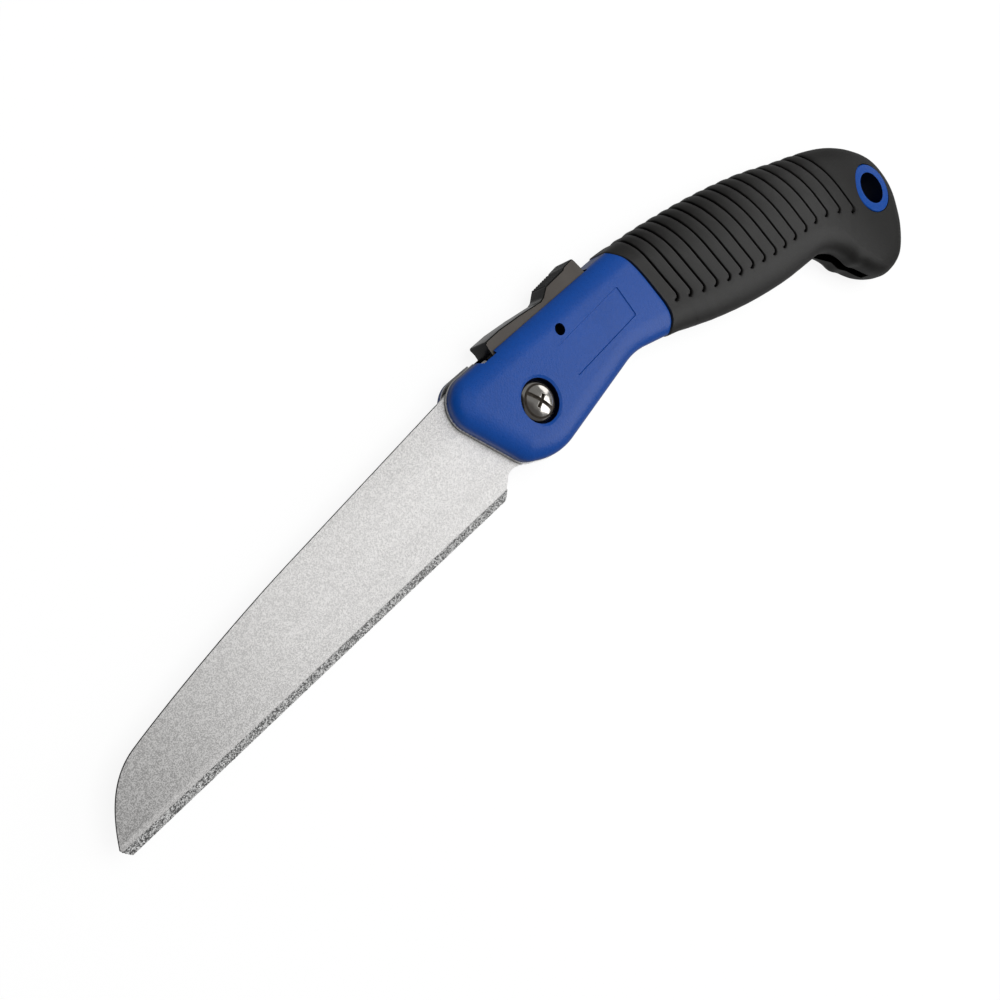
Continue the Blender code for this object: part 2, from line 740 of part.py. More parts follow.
def make_handle_core(parts, cutters, root, plastic):
    core = head_blank("handle_core", parts, root)
    line = head_end_line(0.0)
    behind = plate(
        "behind_head", line + [(0.110, line[-1][1] - 0.03), (0.110, line[0][1] + 0.03)],
        -CUT_REACH, CUT_REACH, cutters, root,
    )
    boolean(core, behind)
    tang = grip_body("core_tang", RUBBER_WALL + SEAT_GAP, INNER_RINGS, 3, 1, 0.75, cutters, root)
    boolean(core, tang, "UNION")
    boss = cylinder(
        "eyelet_boss", EYELET_AT, EYELET_RADIUS, -EYELET_HALF, EYELET_HALF, PIVOT_SIDES, cutters, root,
        EYELET_SLOPE,
    )
    round_edges(boss, EYELET_CHAMFER, 1)
    boolean(core, boss, "UNION")
    hole = cylinder(
        "eyelet_hole", EYELET_AT, EYELET_HOLE_RADIUS, -CUT_REACH, CUT_REACH, PIVOT_SIDES, cutters, root
    )
    boolean(core, hole)
    boolean(core, plate("grip_slot", grip_slot_outline(), -SLOT_HALF, SLOT_HALF, cutters, root))
    boolean(core, plate("head_slot", head_slot_outline(), -CHEEK_LOW, CHEEK_LOW, cutters, root))
    bay_half = LEVER_HALF + RUN_GAP
    boolean(core, plate("lever_bay", bay_outline(RUN_GAP * 1.3), -bay_half, bay_half, cutters, root))
    boolean(core, cylinder(
        "pivot_bore", (0, 0), SLEEVE_BORE_RADIUS, -CUT_REACH, CUT_REACH, PIVOT_SIDES, cutters, root
    ))
    for side, way in (("near", 1.0), ("far", -1.0)):
        flare = COUNTERBORE_RADIUS + COUNTERBORE_FLARE
        profile = [
            (0.0, way * CUT_REACH), (flare, way * CUT_REACH), (flare, way * HEAD_HALF),
            (COUNTERBORE_RADIUS, way * (HEAD_HALF - COUNTERBORE_FLARE_DEPTH)),
            (COUNTERBORE_RADIUS, way * SEAT_HEIGHT), (0.0, way * SEAT_HEIGHT),
        ]
        if way < 0:
            profile.reverse()
        boolean(core, turned_piece("counterbore_" + side, profile, PIVOT_SIDES, cutters, root))
    boolean(core, cylinder(
        "lever_pin_bore", LEVER_PIN_AT, LEVER_PIN_RADIUS + FACET_GAP, -CUT_REACH, CUT_REACH,
        SMALL_SIDES, cutters, root,
    ))
    boolean(core, spring_seat(cutters, root))
    boolean(core, label_recess(cutters, root))
    smooth(core)
    core.data.materials.append(plastic)


def label_recess(cutters, root):
    half_length = LABEL_LENGTH / 2
    half_width = LABEL_WIDTH / 2
    turn = Matrix.Rotation(math.radians(LABEL_ANGLE), 2)
    corners = []
    for along, across in ((1, 1), (-1, 1), (-1, -1), (1, -1)):
        spot = turn @ Vector((along * half_length, across * half_width))
        corners.append((LABEL_AT[0] + spot.x, LABEL_AT[1] + spot.y, LABEL_ROUND))
    return plate("label_recess", rounded(corners, 3), HEAD_HALF - LABEL_DEPTH, CUT_REACH, cutters, root)


def spring_seat(cutters, root):
    """Round pocket in the floor of the bay."""
    radius = SPRING_RADIUS + SPRING_WIRE_RADIUS + RUN_GAP
    floor = BAY_FLOOR_Y - SPRING_SEAT_DEPTH
    seat = cylinder("spring_seat", (0, 0), radius, floor, 0.0215, SMALL_SIDES, cutters, root)
    seat.rotation_euler.x = -math.pi / 2
    seat.location.x = SPRING_X
    return seat


def make_rubber_grip(parts, cutters, root, rubber):
    grip = grip_body("rubber_grip", 0.0, OUTER_RINGS, 5, 2, 0.0, parts, root)
    inner = grip_body("grip_inner", RUBBER_WALL, INNER_RINGS, 3, 1, 0.70, cutters, root)
    boolean(grip, inner)
    line = head_end_line(SEAT_GAP)
    ahead = plate(
        "ahead_of_grip", line + [(0.030, line[-1][1] - 0.03), (0.030, line[0][1] + 0.03)],
        -CUT_REACH, CUT_REACH, cutters, root,
    )
    boolean(grip, ahead)
    boolean(grip, cylinder(
        "eyelet_window", EYELET_AT, EYELET_RADIUS + SEAT_GAP, -CUT_REACH, CUT_REACH,
        PIVOT_SIDES, cutters, root,
    ))
    boolean(grip, plate("grip_slot_outer", grip_slot_outline(), -SLOT_HALF, SLOT_HALF, cutters, root))
    count = GROOVES_PER_END * (len(GROOVE_ENDS) - 1) + 1
    paths = [groove_path(index) for index in range(count)]
    grooves = new_piece("grooves", groove_mesh("grooves", paths), cutters, root)
    boolean(grip, grooves)
    smooth(grip, 40.0)
    grip.data.materials.append(rubber)


# Liners, washers, screw and nut

def make_liners(parts, cutters, root, steel):
    outline = grown(head_outline(), -LINER_INSET)
    bay = plate("liner_bay", bay_outline(RUN_GAP * 2.2), -CUT_REACH, CUT_REACH, cutters, root)
    pawl_room = plate(
        "liner_pawl_room",
        [
            (LEVER_NOSE_X - RUN_GAP, 0.030), (LEVER_NOSE_X - RUN_GAP, TANG_RADIUS - RUN_GAP),
            (PAWL_REAR_X + RUN_GAP, TANG_RADIUS - RUN_GAP), (PAWL_REAR_X + RUN_GAP, 0.030),
        ],
        -CUT_REACH, CUT_REACH, cutters, root,
    )
    behind = [
        (LINER_REAR_X, -0.050), (0.100, -0.050), (0.100, 0.050), (BAY_WEB_X - RUN_GAP, 0.050),
        (BAY_WEB_X - RUN_GAP, slot_floor(BAY_WEB_X) - SEAT_GAP),
        (LINER_REAR_X, slot_floor(LINER_REAR_X) - SEAT_GAP),
    ]
    trim = plate("liner_trim", behind, -CUT_REACH, CUT_REACH, cutters, root)
    bore = cylinder(
        "liner_bore", (0, 0), SLEEVE_BORE_RADIUS, -CUT_REACH, CUT_REACH, PIVOT_SIDES, cutters, root
    )
    for name, low, high in (
        ("liner_near", LINER_LOW, LINER_HIGH), ("liner_far", -LINER_HIGH, -LINER_LOW),
    ):
        liner = plate(name, outline, low, high, parts, root)
        for cutter in (bay, pawl_room, trim, bore):
            boolean(liner, cutter)
        smooth(liner)
        liner.data.materials.append(steel)


def make_washers(parts, root, bronze):
    bore = SLEEVE_BORE_RADIUS
    for name, low, high in (
        ("washer_near", WASHER_LOW, WASHER_HIGH), ("washer_far", -WASHER_HIGH, -WASHER_LOW),
    ):
        profile = [(bore, high), (WASHER_RADIUS, high), (WASHER_RADIUS, low), (bore, low)]
        washer = ring_piece(name, profile, PIVOT_SIDES, parts, root)
        smooth(washer)
        washer.data.materials.append(bronze)


def dome(radius, rim_height, rise, steps):
    """Profile of a domed head from its crown to the top of its rim."""
    curve_radius = (radius ** 2 + rise ** 2) / (2 * rise)
    reach = math.asin(radius / curve_radius)
    centre = rim_height + rise - curve_radius
    points = []
    for step in range(steps + 1):
        turn = reach * step / steps
        points.append((curve_radius * math.sin(turn), centre + curve_radius * math.cos(turn)))
    points[0] = (0.0, rim_height + rise)
    points[-1] = (radius, rim_height)
    return points


def make_pivot_screw(parts, cutters, root, chrome):
    """Domed screw with a straight slot and a cross recess."""
    seat = SEAT_HEIGHT + SEAT_GAP
    rim = seat + SCREW_HEAD_RIM
    shank_end = -SEAT_HEIGHT + FACET_GAP
    profile = dome(SCREW_HEAD_RADIUS, rim, SCREW_DOME, 6)
    profile += [(SCREW_HEAD_RADIUS, seat), (PIVOT_SCREW_RADIUS, seat)]
    profile += [(PIVOT_SCREW_RADIUS, shank_end + 0.0004), (PIVOT_SCREW_RADIUS - 0.0004, shank_end), (0.0, shank_end)]
    screw = turned_piece("pivot_screw", profile, PIVOT_SIDES, parts, root)
    crown = rim + SCREW_DOME
    for name, length, depth, width, angle in (
        ("screw_slot", 2.4 * SCREW_HEAD_RADIUS, SCREW_SLOT_DEPTH, SCREW_SLOT_WIDTH, SCREW_SLOT_ANGLE),
        ("screw_cross", CROSS_LENGTH, CROSS_DEPTH, SCREW_SLOT_WIDTH * 0.95, SCREW_SLOT_ANGLE + 90.0),
    ):
        shape = bmesh.new()
        bmesh.ops.create_cube(shape, size=1.0)
        bmesh.ops.scale(shape, vec=(length, width, 0.004), verts=shape.verts)
        bmesh.ops.rotate(shape, matrix=Matrix.Rotation(math.radians(angle), 3, "Z"), verts=shape.verts)
        bmesh.ops.translate(shape, vec=(0, 0, crown - depth + 0.002), verts=shape.verts)
        boolean(screw, new_piece(name, mesh_from_bmesh(name, shape), cutters, root))
    smooth(screw)
    screw.data.materials.append(chrome)


def make_sleeve_nut(parts, cutters, root, chrome):
    """Barrel nut: the blade turns on its sleeve, and its slotted head fills the far counterbore."""
    seat = -SEAT_HEIGHT - SEAT_GAP
    bottom = seat - NUT_HEAD_HEIGHT
    top = SEAT_HEIGHT - SEAT_GAP
    bore = PIVOT_SCREW_RADIUS + FACET_GAP
    profile = [
        (bore, top), (PIVOT_SLEEVE_RADIUS, top), (PIVOT_SLEEVE_RADIUS, seat), (SCREW_HEAD_RADIUS, seat),
        (SCREW_HEAD_RADIUS, bottom + 0.0004), (SCREW_HEAD_RADIUS - 0.0005, bottom), (bore, bottom),
    ]
    nut = ring_piece("pivot_sleeve_nut", profile, PIVOT_SIDES, parts, root)
    shape = bmesh.new()
    bmesh.ops.create_cube(shape, size=1.0)
    bmesh.ops.scale(shape, vec=(2.4 * SCREW_HEAD_RADIUS, SCREW_SLOT_WIDTH, 0.004), verts=shape.verts)
    bmesh.ops.translate(shape, vec=(0, 0, bottom + SCREW_SLOT_DEPTH - 0.002), verts=shape.verts)
    boolean(nut, new_piece("nut_slot", mesh_from_bmesh("nut_slot", shape), cutters, root))
    smooth(nut)
    nut.data.materials.append(chrome)


# Lock lever

def pad_comb():
    """Outline that is cut from the thumb pad to leave a row of low ridges."""
    start = Vector(LEVER_PAD_FRONT)
    run = Vector(LEVER_PAD_STEP) - start
    along = run / LEVER_RIDGES
    up = Vector((-along.y, along.x)).normalized() * LEVER_RIDGE_HEIGHT
    points = [start + run + up * 4, start + up * 4]
    for ridge in range(LEVER_RIDGES):
        foot = start + along * ridge
        points += [foot + along * 0.12 - up, foot + along * 0.50 - up * 0.15, foot + along * 0.85 - up * 0.15]
    points.append(start + run + along * 0.12 - up * 0.6)
    return [tuple(point) for point in points]


def lever_outline():
    """Side view of the lever about the pivot, from the nose over the pad and back below."""
    pin = LEVER_PIN_AT
    under = LEVER_NOSE_UNDER_Y
    nose_top = (LEVER_NOSE_X, LEVER_NOSE_Y)
    points = fillet((LEVER_NOSE_X, under), nose_top, (0.0030, LEVER_NOSE_Y + 0.0005), 0.0008, 3)
    points += [(0.0030, LEVER_NOSE_Y + 0.0004), (0.0130, LEVER_NOSE_Y), LEVER_WAIST, LEVER_RAMP_FOOT]
    points += [LEVER_PAD_FRONT, LEVER_PAD_STEP, LEVER_PAD_BUMP, LEVER_PAD_REAR]
    points += [LEVER_REAR, (LEVER_REAR[0], LEVER_REAR_UNDER_Y)]
    points += [LEVER_UNDER_REAR, LEVER_UNDER_FRONT]
    points += arc(pin, LEVER_BOSS_RADIUS, 70.0, -268.0, 12)
    points += [(pin[0] - 0.0010, under), (LEVER_NOSE_X, under)]
    return points


def about_pin(outline):
    """Outline given about the pivot, moved to be about the lever's pin."""
    return [(x - LEVER_PIN_AT[0], y - LEVER_PIN_AT[1]) for x, y in outline]


def pawl_outline():
    """Ring round the pin, an arm forwards, and the tooth over the tang's rim."""
    pin = LEVER_PIN_AT
    tip_radius = TANG_RADIUS + PAWL_TIP_RISE
    front = LEVER_NOSE_X + SEAT_GAP
    inner_front = LEVER_NOSE_X + LEVER_NOSE_WALL
    step_y = LEVER_NOSE_UNDER_Y - SEAT_GAP
    arm_y = LEVER_NOSE_UNDER_Y - PAWL_ARM_DROP
    tooth_front = math.degrees(math.acos(front / tip_radius))
    tooth_rear = math.degrees(math.acos(PAWL_REAR_X / tip_radius))
    points = [(inner_front, PAWL_TOP_Y), (inner_front, step_y), (front, step_y)]
    points += arc((0, 0), tip_radius, tooth_front, tooth_rear, 2)
    points += [(PAWL_REAR_X, arm_y), (pin[0] - PAWL_RING_RADIUS, arm_y)]
    points += arc(pin, PAWL_RING_RADIUS, 165.0, 440.0, 12)
    points += [(pin[0] - 0.0010, PAWL_TOP_Y)]
    return points


def flare_sides(lever):
    """Cuts the upper sides into panels and sets the half width along the lever's top."""
    shape = bmesh.new()
    shape.from_mesh(lever.data)
    pin_x, pin_y = LEVER_PIN_AT
    flare_y = LEVER_FLARE_Y - pin_y
    bmesh.ops.dissolve_limit(
        shape, angle_limit=math.radians(0.5), verts=shape.verts, edges=shape.edges
    )
    bmesh.ops.bisect_plane(
        shape, geom=shape.verts[:] + shape.edges[:] + shape.faces[:], dist=1e-7,
        plane_co=(0.0, flare_y, 0.0), plane_no=(0.0, 1.0, 0.0),
    )
    for x, _ in LEVER_WIDTHS[1:-1]:
        upper = [face for face in shape.faces if face.calc_center_median().y > flare_y]
        edges = list({edge for face in upper for edge in face.edges})
        verts = list({vertex for face in upper for vertex in face.verts})
        bmesh.ops.bisect_plane(
            shape, geom=verts + edges + upper, dist=1e-7,
            plane_co=(x - pin_x, 0.0, 0.0), plane_no=(1.0, 0.0, 0.0),
        )
    for vertex in shape.verts:
        if vertex.co.y > flare_y + 0.0005:
            vertex.co.z = math.copysign(half_width_at(vertex.co.x + pin_x), vertex.co.z)
    weight = shape.edges.layers.float.new("bevel_weight_edge")
    for edge in shape.edges:
        lowest = min(vertex.co.y for vertex in edge.verts)
        if lowest > flare_y + 0.0005 and edge.calc_face_angle(0.0) > math.radians(50.0):
            edge[weight] = 1.0
    shape.to_mesh(lever.data)
    shape.free()


def half_width_at(x):
    """Half width of the lever's top at X."""
    for (low, low_half), (high, high_half) in zip(LEVER_WIDTHS, LEVER_WIDTHS[1:]):
        if x <= high:
            share = min(max((x - low) / (high - low), 0.0), 1.0)
            return low_half + (high_half - low_half) * share
    return LEVER_WIDTHS[-1][1]


def make_lever(parts, cutters, pivot, plastic, steel):
    lever = plate("lock_lever", about_pin(lever_outline()), -LEVER_HALF, LEVER_HALF, parts, pivot)
    flare_sides(lever)
    round_edges(lever, LEVER_RIM_ROUND, 2, 60.0)
    lever.modifiers[0].limit_method = "WEIGHT"
    boolean(lever, plate(
        "pad_comb", about_pin(pad_comb()), -2 * LEVER_HALF, 2 * LEVER_HALF, cutters, pivot
    ))
    room_half = PAWL_HALF + FACET_GAP
    room = plate("pawl_room", about_pin(pawl_room_outline()), -room_half, room_half, cutters, pivot)
    boolean(lever, room)
    pocket = cylinder(
        "spring_pocket", (0, 0), SPRING_RADIUS + SPRING_WIRE_RADIUS + RUN_GAP,
        0.0, SPRING_POCKET_TOP_Y - LEVER_PIN_AT[1], SMALL_SIDES, cutters, pivot,
    )
    pocket.rotation_euler.x = -math.pi / 2
    pocket.location.x = SPRING_X - LEVER_PIN_AT[0]
    boolean(lever, pocket)
    bore = cylinder(
        "lever_bore", (0, 0), LEVER_PIN_RADIUS + FACET_GAP, -CUT_REACH, CUT_REACH,
        SMALL_SIDES, cutters, pivot,
    )
    boolean(lever, bore)
    smooth(lever)
    lever.data.materials.append(plastic)
    pawl = plate("lock_pawl", about_pin(pawl_outline()), -PAWL_HALF, PAWL_HALF, parts, pivot)
    boolean(pawl, bore)
    smooth(pawl)
    pawl.data.materials.append(steel)


def pawl_room_outline():
    """Room for the pawl in the lever, open below so that the plate goes in from there."""
    front = LEVER_NOSE_X + LEVER_NOSE_WALL - SEAT_GAP
    low = LEVER_PIN_AT[1] - LEVER_BOSS_RADIUS - 0.001
    ring_right = LEVER_PIN_AT[0] + PAWL_RING_RADIUS + SEAT_GAP
    top = PAWL_TOP_Y + SEAT_GAP
    return [
        (front, top), (front, low), (ring_right, low), (ring_right, LEVER_PIN_AT[1] + 0.0015),
        (LEVER_PIN_AT[0], top),
    ]


def make_lever_pin(parts, root, steel):
    high = HEAD_HALF - LEVER_PIN_RECESS
    pin = cylinder("lever_pin", LEVER_PIN_AT, LEVER_PIN_RADIUS, -high, high, SMALL_SIDES, parts, root)
    smooth(pin)
    pin.data.materials.append(steel)


def spring_points():
    """Centre line of the lever's spring, upright along Y, with closed-up end turns."""
    low = BAY_FLOOR_Y - SPRING_SEAT_DEPTH + SPRING_WIRE_RADIUS + SEAT_GAP
    high = SPRING_POCKET_TOP_Y - SPRING_WIRE_RADIUS - SEAT_GAP
    count = SPRING_TURNS * SPRING_POINTS
    points = []
    for index in range(count + 1):
        turn = math.tau * index / SPRING_POINTS
        height = low + (high - low) * index / count
        points.append(Vector((
            SPRING_X + SPRING_RADIUS * math.cos(turn), height, SPRING_RADIUS * math.sin(turn),
        )))
    return points


def least_spring_gap(points):
    """Smallest distance between turns, less the wire."""
    least = 1.0
    for index, point in enumerate(points):
        for other in points[index + SPRING_POINTS // 2:]:
            least = min(least, (point - other).length)
    return least - 2 * SPRING_WIRE_RADIUS


def make_lever_spring(parts, root, steel):
    points = spring_points()
    print("least gap in the lever spring: %.2f mm" % (least_spring_gap(points) * 1000))
    curve = bpy.data.curves.new("lever_spring", "CURVE")
    curve.dimensions = "3D"
    curve.bevel_depth = SPRING_WIRE_RADIUS
    curve.bevel_resolution = 1
    curve.use_fill_caps = True
    spline = curve.splines.new("POLY")
    spline.points.add(len(points) - 1)
    for knot, point in zip(spline.points, points):
        knot.co = (*point, 1.0)
    spring = new_piece("lever_spring", curve, parts, root)
    curve.materials.append(steel)
    return spring


# Assembly

def clear_scene():
    for item in list(bpy.data.objects):
        bpy.data.objects.remove(item, do_unlink=True)


def empty(name, parent, at=(0.0, 0.0, 0.0)):
    marker = bpy.data.objects.new(name, None)
    marker.empty_display_size = 0.01
    marker.parent = parent
    marker.location = at
    bpy.context.scene.collection.objects.link(marker)
    return marker


def stand_on_ground(root, parts):
    """Moves the root so that the saw's box stands centred on the XY plane."""
    bpy.context.view_layer.update()
    graph = bpy.context.evaluated_depsgraph_get()
    low = Vector((1.0, 1.0, 1.0))
    high = Vector((-1.0, -1.0, -1.0))
    for piece in parts.objects:
        seen = piece.evaluated_get(graph)
        mesh = seen.to_mesh()
        for vertex in mesh.vertices:
            spot = seen.matrix_world @ vertex.co
            low = Vector(map(min, low, spot))
            high = Vector(map(max, high, spot))
        seen.to_mesh_clear()
    root.location = (-(low.x + high.x) / 2, -(low.y + high.y) / 2, -low.z)


def main():
    clear_scene()
    parts = bpy.data.collections.new("folding_saw")
    cutters = bpy.data.collections.new("cutters")
    for group in (parts, cutters):
        bpy.context.scene.collection.children.link(group)
    root = empty("saw_root", None)
    blade_pivot = empty("blade_pivot", root)
    lever_pivot = empty("lever_pivot", root, (*LEVER_PIN_AT, 0.0))

    blue = material("blue_plastic", (0.020, 0.075, 0.33), 0.38)
    rubber = material("black_rubber", (0.035, 0.034, 0.033), 0.62)
    black = material("black_plastic", (0.020, 0.020, 0.020), 0.35)
    satin = material("satin_steel", (0.62, 0.62, 0.61), 0.45, 1.0)
    grit = material("abrasive_grit", (0.16, 0.16, 0.165), 0.75, 0.4)
    liner = material("liner_steel", (0.55, 0.55, 0.56), 0.30, 1.0)
    chrome = material("bright_nickel", (0.75, 0.73, 0.69), 0.12, 1.0)
    bronze = material("washer_bronze", (0.55, 0.38, 0.18), 0.35, 1.0)

    make_handle_core(parts, cutters, root, blue)
    make_rubber_grip(parts, cutters, root, rubber)
    make_blade(parts, cutters, blade_pivot, satin)
    make_abrasive_edge(parts, cutters, blade_pivot, grit)
    make_liners(parts, cutters, root, liner)
    make_washers(parts, root, bronze)
    make_pivot_screw(parts, cutters, root, chrome)
    make_sleeve_nut(parts, cutters, root, chrome)
    make_lever(parts, cutters, lever_pivot, black, liner)
    make_lever_pin(parts, root, liner)
    make_lever_spring(parts, root, liner)
    stand_on_ground(root, parts)
    print("pivot at %s" % [round(value, 6) for value in root.location])


main()
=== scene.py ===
"""Looks of the folding saw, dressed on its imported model.

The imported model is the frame: every piece here rides on one of its bodies. The pieces
are drawn about the pivot, as the saw is seen from its near face: X runs to the butt of
the handle, Y to the spine and Z out of the near face. They are then moved to the pivot
that the frame gives. All lengths are in metres.
"""
import math

import bmesh
import bpy
import numpy as np
from bpy.props import FloatProperty, FloatVectorProperty, IntProperty, PointerProperty
from mathutils import Matrix, Vector


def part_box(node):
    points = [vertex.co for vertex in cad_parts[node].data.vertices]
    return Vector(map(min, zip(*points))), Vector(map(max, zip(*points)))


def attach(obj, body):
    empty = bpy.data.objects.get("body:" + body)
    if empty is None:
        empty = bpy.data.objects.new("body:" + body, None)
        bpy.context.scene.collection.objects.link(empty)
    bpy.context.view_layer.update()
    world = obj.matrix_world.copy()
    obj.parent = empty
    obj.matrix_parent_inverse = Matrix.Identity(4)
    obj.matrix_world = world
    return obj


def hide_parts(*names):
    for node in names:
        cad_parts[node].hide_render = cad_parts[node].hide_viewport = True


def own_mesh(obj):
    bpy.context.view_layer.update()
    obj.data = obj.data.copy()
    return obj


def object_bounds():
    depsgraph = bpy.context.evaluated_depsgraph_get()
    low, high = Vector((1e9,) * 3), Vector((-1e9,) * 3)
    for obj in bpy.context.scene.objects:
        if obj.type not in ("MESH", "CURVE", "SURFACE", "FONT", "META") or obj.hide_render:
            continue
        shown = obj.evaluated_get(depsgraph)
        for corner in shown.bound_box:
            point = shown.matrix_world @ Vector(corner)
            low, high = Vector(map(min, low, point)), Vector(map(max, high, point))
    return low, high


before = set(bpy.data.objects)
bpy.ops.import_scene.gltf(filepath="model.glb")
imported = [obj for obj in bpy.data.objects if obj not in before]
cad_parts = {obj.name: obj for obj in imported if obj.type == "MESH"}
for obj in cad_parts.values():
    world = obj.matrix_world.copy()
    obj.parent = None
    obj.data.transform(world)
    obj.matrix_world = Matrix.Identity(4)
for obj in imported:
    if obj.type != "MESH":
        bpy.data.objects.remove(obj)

bl_info = {
    "name": "Folding Saw",
    "version": (1, 0, 0),
    "blender": (4, 5, 0),
    "location": "View3D > Sidebar > Saw",
    "description": "Folding saw with an abrasive edge, a ribbed grip and a lever lock",
    "category": "Add Mesh",
}

CAD_LOW, CAD_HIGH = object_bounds()

# Where the saw lies in the frame
SLEEVE_LOW, SLEEVE_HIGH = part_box("pivot_sleeve_nut")
BLADE_LOW, BLADE_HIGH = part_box("blade")
PIVOT = Vector((
    (SLEEVE_LOW.x + SLEEVE_HIGH.x) / 2,
    (SLEEVE_LOW.y + SLEEVE_HIGH.y) / 2,
    (BLADE_LOW.z + BLADE_HIGH.z) / 2,
))
BLADE_HALF = (BLADE_HIGH.z - BLADE_LOW.z) / 2

# Clearances
SEAT_GAP = 0.00020
RUN_GAP = 0.00035
FACET_GAP = 0.00015
BAY_GAP = RUN_GAP * 1.3
LINER_BAY_GAP = RUN_GAP * 2.2

# How far cutters reach past the saw: through it, in plan, and out of the lever's bay
THROUGH = 0.020
BEYOND = 0.050
BAY_OPEN_Y = 0.040

# Blade, seen from the near face
TIP_UNDER = (-0.1768, -0.0224)
TIP_FRONT = (-0.1786, -0.0197)
TIP_PULLS = ((-0.1744, -0.0110), (-0.1691, -0.0038))
TIP_SHOULDER = (-0.1605, -0.0017)
SPINE_PULLS = ((-0.1455, 0.0021), (-0.1155, 0.0077))
SPINE_BEND = (-0.0950, 0.0102)
SPINE_ROOT = (-0.0290, 0.0187)
HEEL = (-0.0276, -0.0187)
HEEL_ROUND = 0.0018
TANG_TOP = (-0.0185, 0.0202)
TANG_RADIUS = 0.0153
TANG_STOP_RADIUS = 0.0163
NOTCH_DEPTH = 0.0014
NOTCH_REAR_ANGLE = 87.8
STOP_GAP_ANGLE = 0.8
STOP_END_ANGLE = -104.0
FOLD_ANGLE = 170.0
CHOIL_WALL = 0.0006
CHOIL_ANGLES = (66.0, 138.0)
ROOT_LENGTH = 0.012
GRIT_BED = 0.00014
GRIT_LAP = 0.0002

# Head of the handle: X, Y and fillet radius of its corners, then its end at the rubber
HEAD_CORNERS = [
    (0.0900, 0.0253, 0.0),
    (-0.0346, 0.0208, 0.0094),
    (-0.0156, -0.0131, 0.0082),
    (-0.0032, -0.0187, 0.0259),
    (0.0460, -0.0089, 0.0260),
    (0.0900, -0.0180, 0.0),
]
HEAD_END = [
    (0.0562, 0.0300),
    (0.0572, 0.0245),
    (0.0612, 0.0190),
    (0.0637, 0.0120),
    (0.0652, 0.0040),
    (0.0662, -0.0030),
    (0.0655, -0.0080),
    (0.0628, -0.0125),
    (0.0600, -0.0200),
]
HEAD_LEAST_ROUND = 0.0006
HEAD_FLAT_INSET = 0.0003
CHEEK_LOW = 0.0019
LINER_REAR_X = 0.0560
LINER_LOW = 0.0015
LINER_HIGH = 0.0019
LINER_PROUD = 0.00032
LINER_ROUND = 0.00008

# Grip: spine X, Y, belly X, Y, half thickness, then the rounding in plan and in
# depth on the spine side and on the belly side
GRIP_STATIONS = np.array([
    (0.0440, 0.0240, 0.0440, -0.0093, 0.0077, 0.0085, 0.0039, 0.0080, 0.0039),
    (0.0580, 0.0245, 0.0580, -0.0118, 0.0079, 0.0090, 0.0043, 0.0080, 0.0040),
    (0.0700, 0.0243, 0.0700, -0.0145, 0.0084, 0.0105, 0.0064, 0.0085, 0.0046),
    (0.0850, 0.0234, 0.0860, -0.0195, 0.0092, 0.0165, 0.0087, 0.0105, 0.0056),
    (0.1100, 0.0207, 0.1060, -0.0241, 0.0100, 0.0205, 0.0097, 0.0130, 0.0062),
    (0.1350, 0.0166, 0.1260, -0.0270, 0.0102, 0.0210, 0.0099, 0.0130, 0.0062),
    (0.1560, 0.0114, 0.1410, -0.0279, 0.0101, 0.0210, 0.0098, 0.0120, 0.0060),
    (0.1740, 0.0070, 0.1512, -0.0284, 0.0100, 0.0210, 0.0097, 0.0100, 0.0056),
    (0.1883, 0.0022, 0.1584, -0.0315, 0.0099, 0.0205, 0.0096, 0.0085, 0.0052),
    (0.2001, -0.0047, 0.1627, -0.0362, 0.0098, 0.0200, 0.0095, 0.0075, 0.0049),
    (0.2087, -0.0136, 0.1648, -0.0407, 0.0097, 0.0200, 0.0094, 0.0070, 0.0048),
    (0.2116, -0.0256, 0.1682, -0.0437, 0.0095, 0.0190, 0.0092, 0.0065, 0.0048),
    (0.2086, -0.0368, 0.1706, -0.0464, 0.0092, 0.0170, 0.0089, 0.0060, 0.0047),
    (0.2041, -0.0448, 0.1734, -0.0495, 0.0084, 0.0140, 0.0081, 0.0060, 0.0045),
    (0.1982, -0.0510, 0.1771, -0.0525, 0.0068, 0.0090, 0.0065, 0.0050, 0.0042),
    (0.1923, -0.0542, 0.1813, -0.0547, 0.0040, 0.0045, 0.0037, 0.0035, 0.0028),
    (0.1885, -0.0548, 0.1848, -0.0552, 0.0012, 0.0012, 0.0009, 0.0012, 0.0009),
])
GRIP_SPINE_STEPS = 18
GRIP_FLAT_STEPS = 36
GRIP_BELLY_STEPS = 42
RUBBER_WALL = 0.0024
SLOT_LINING = 0.0008
GROOVE_SLANT = math.radians(12.0)
CURL_ANGLE = math.radians(110.0)
GROOVE_ENDS = np.array([
    (0.0707, -0.0039), (0.0770, -0.0058), (0.0832, -0.0077), (0.0897, -0.0092),
    (0.0964, -0.0107), (0.1028, -0.0119), (0.1095, -0.0129), (0.1164, -0.0140),
    (0.1232, -0.0149), (0.1298, -0.0154), (0.1368, -0.0158), (0.1443, -0.0162),
    (0.1516, -0.0164), (0.1590, -0.0174), (0.1666, -0.0198), (0.1743, -0.0236),
])

# Pivot
SLEEVE_RADIUS = 0.0040
SHANK_RADIUS = 0.0025
NUT_HEIGHT = 0.0022
SCREW_ROUND = 0.00007
NUT_ROUND = 0.00006
DRIVER_ANGLE = 118.0
CROSS_SINK = 0.0005
COUNTERBORE_FLARE = 0.0009
COUNTERBORE_LIP = 0.0004
BAR_HEIGHT = 0.004

# Hanging eyelet
EYELET_AT = (0.1929, -0.0216)
EYELET_RADIUS = 0.0102
EYELET_HOLE_RADIUS = 0.0066
EYELET_HALF = 0.0090
EYELET_SLOPE = (0.07, 0.09)
EYELET_ROUND = 0.0006

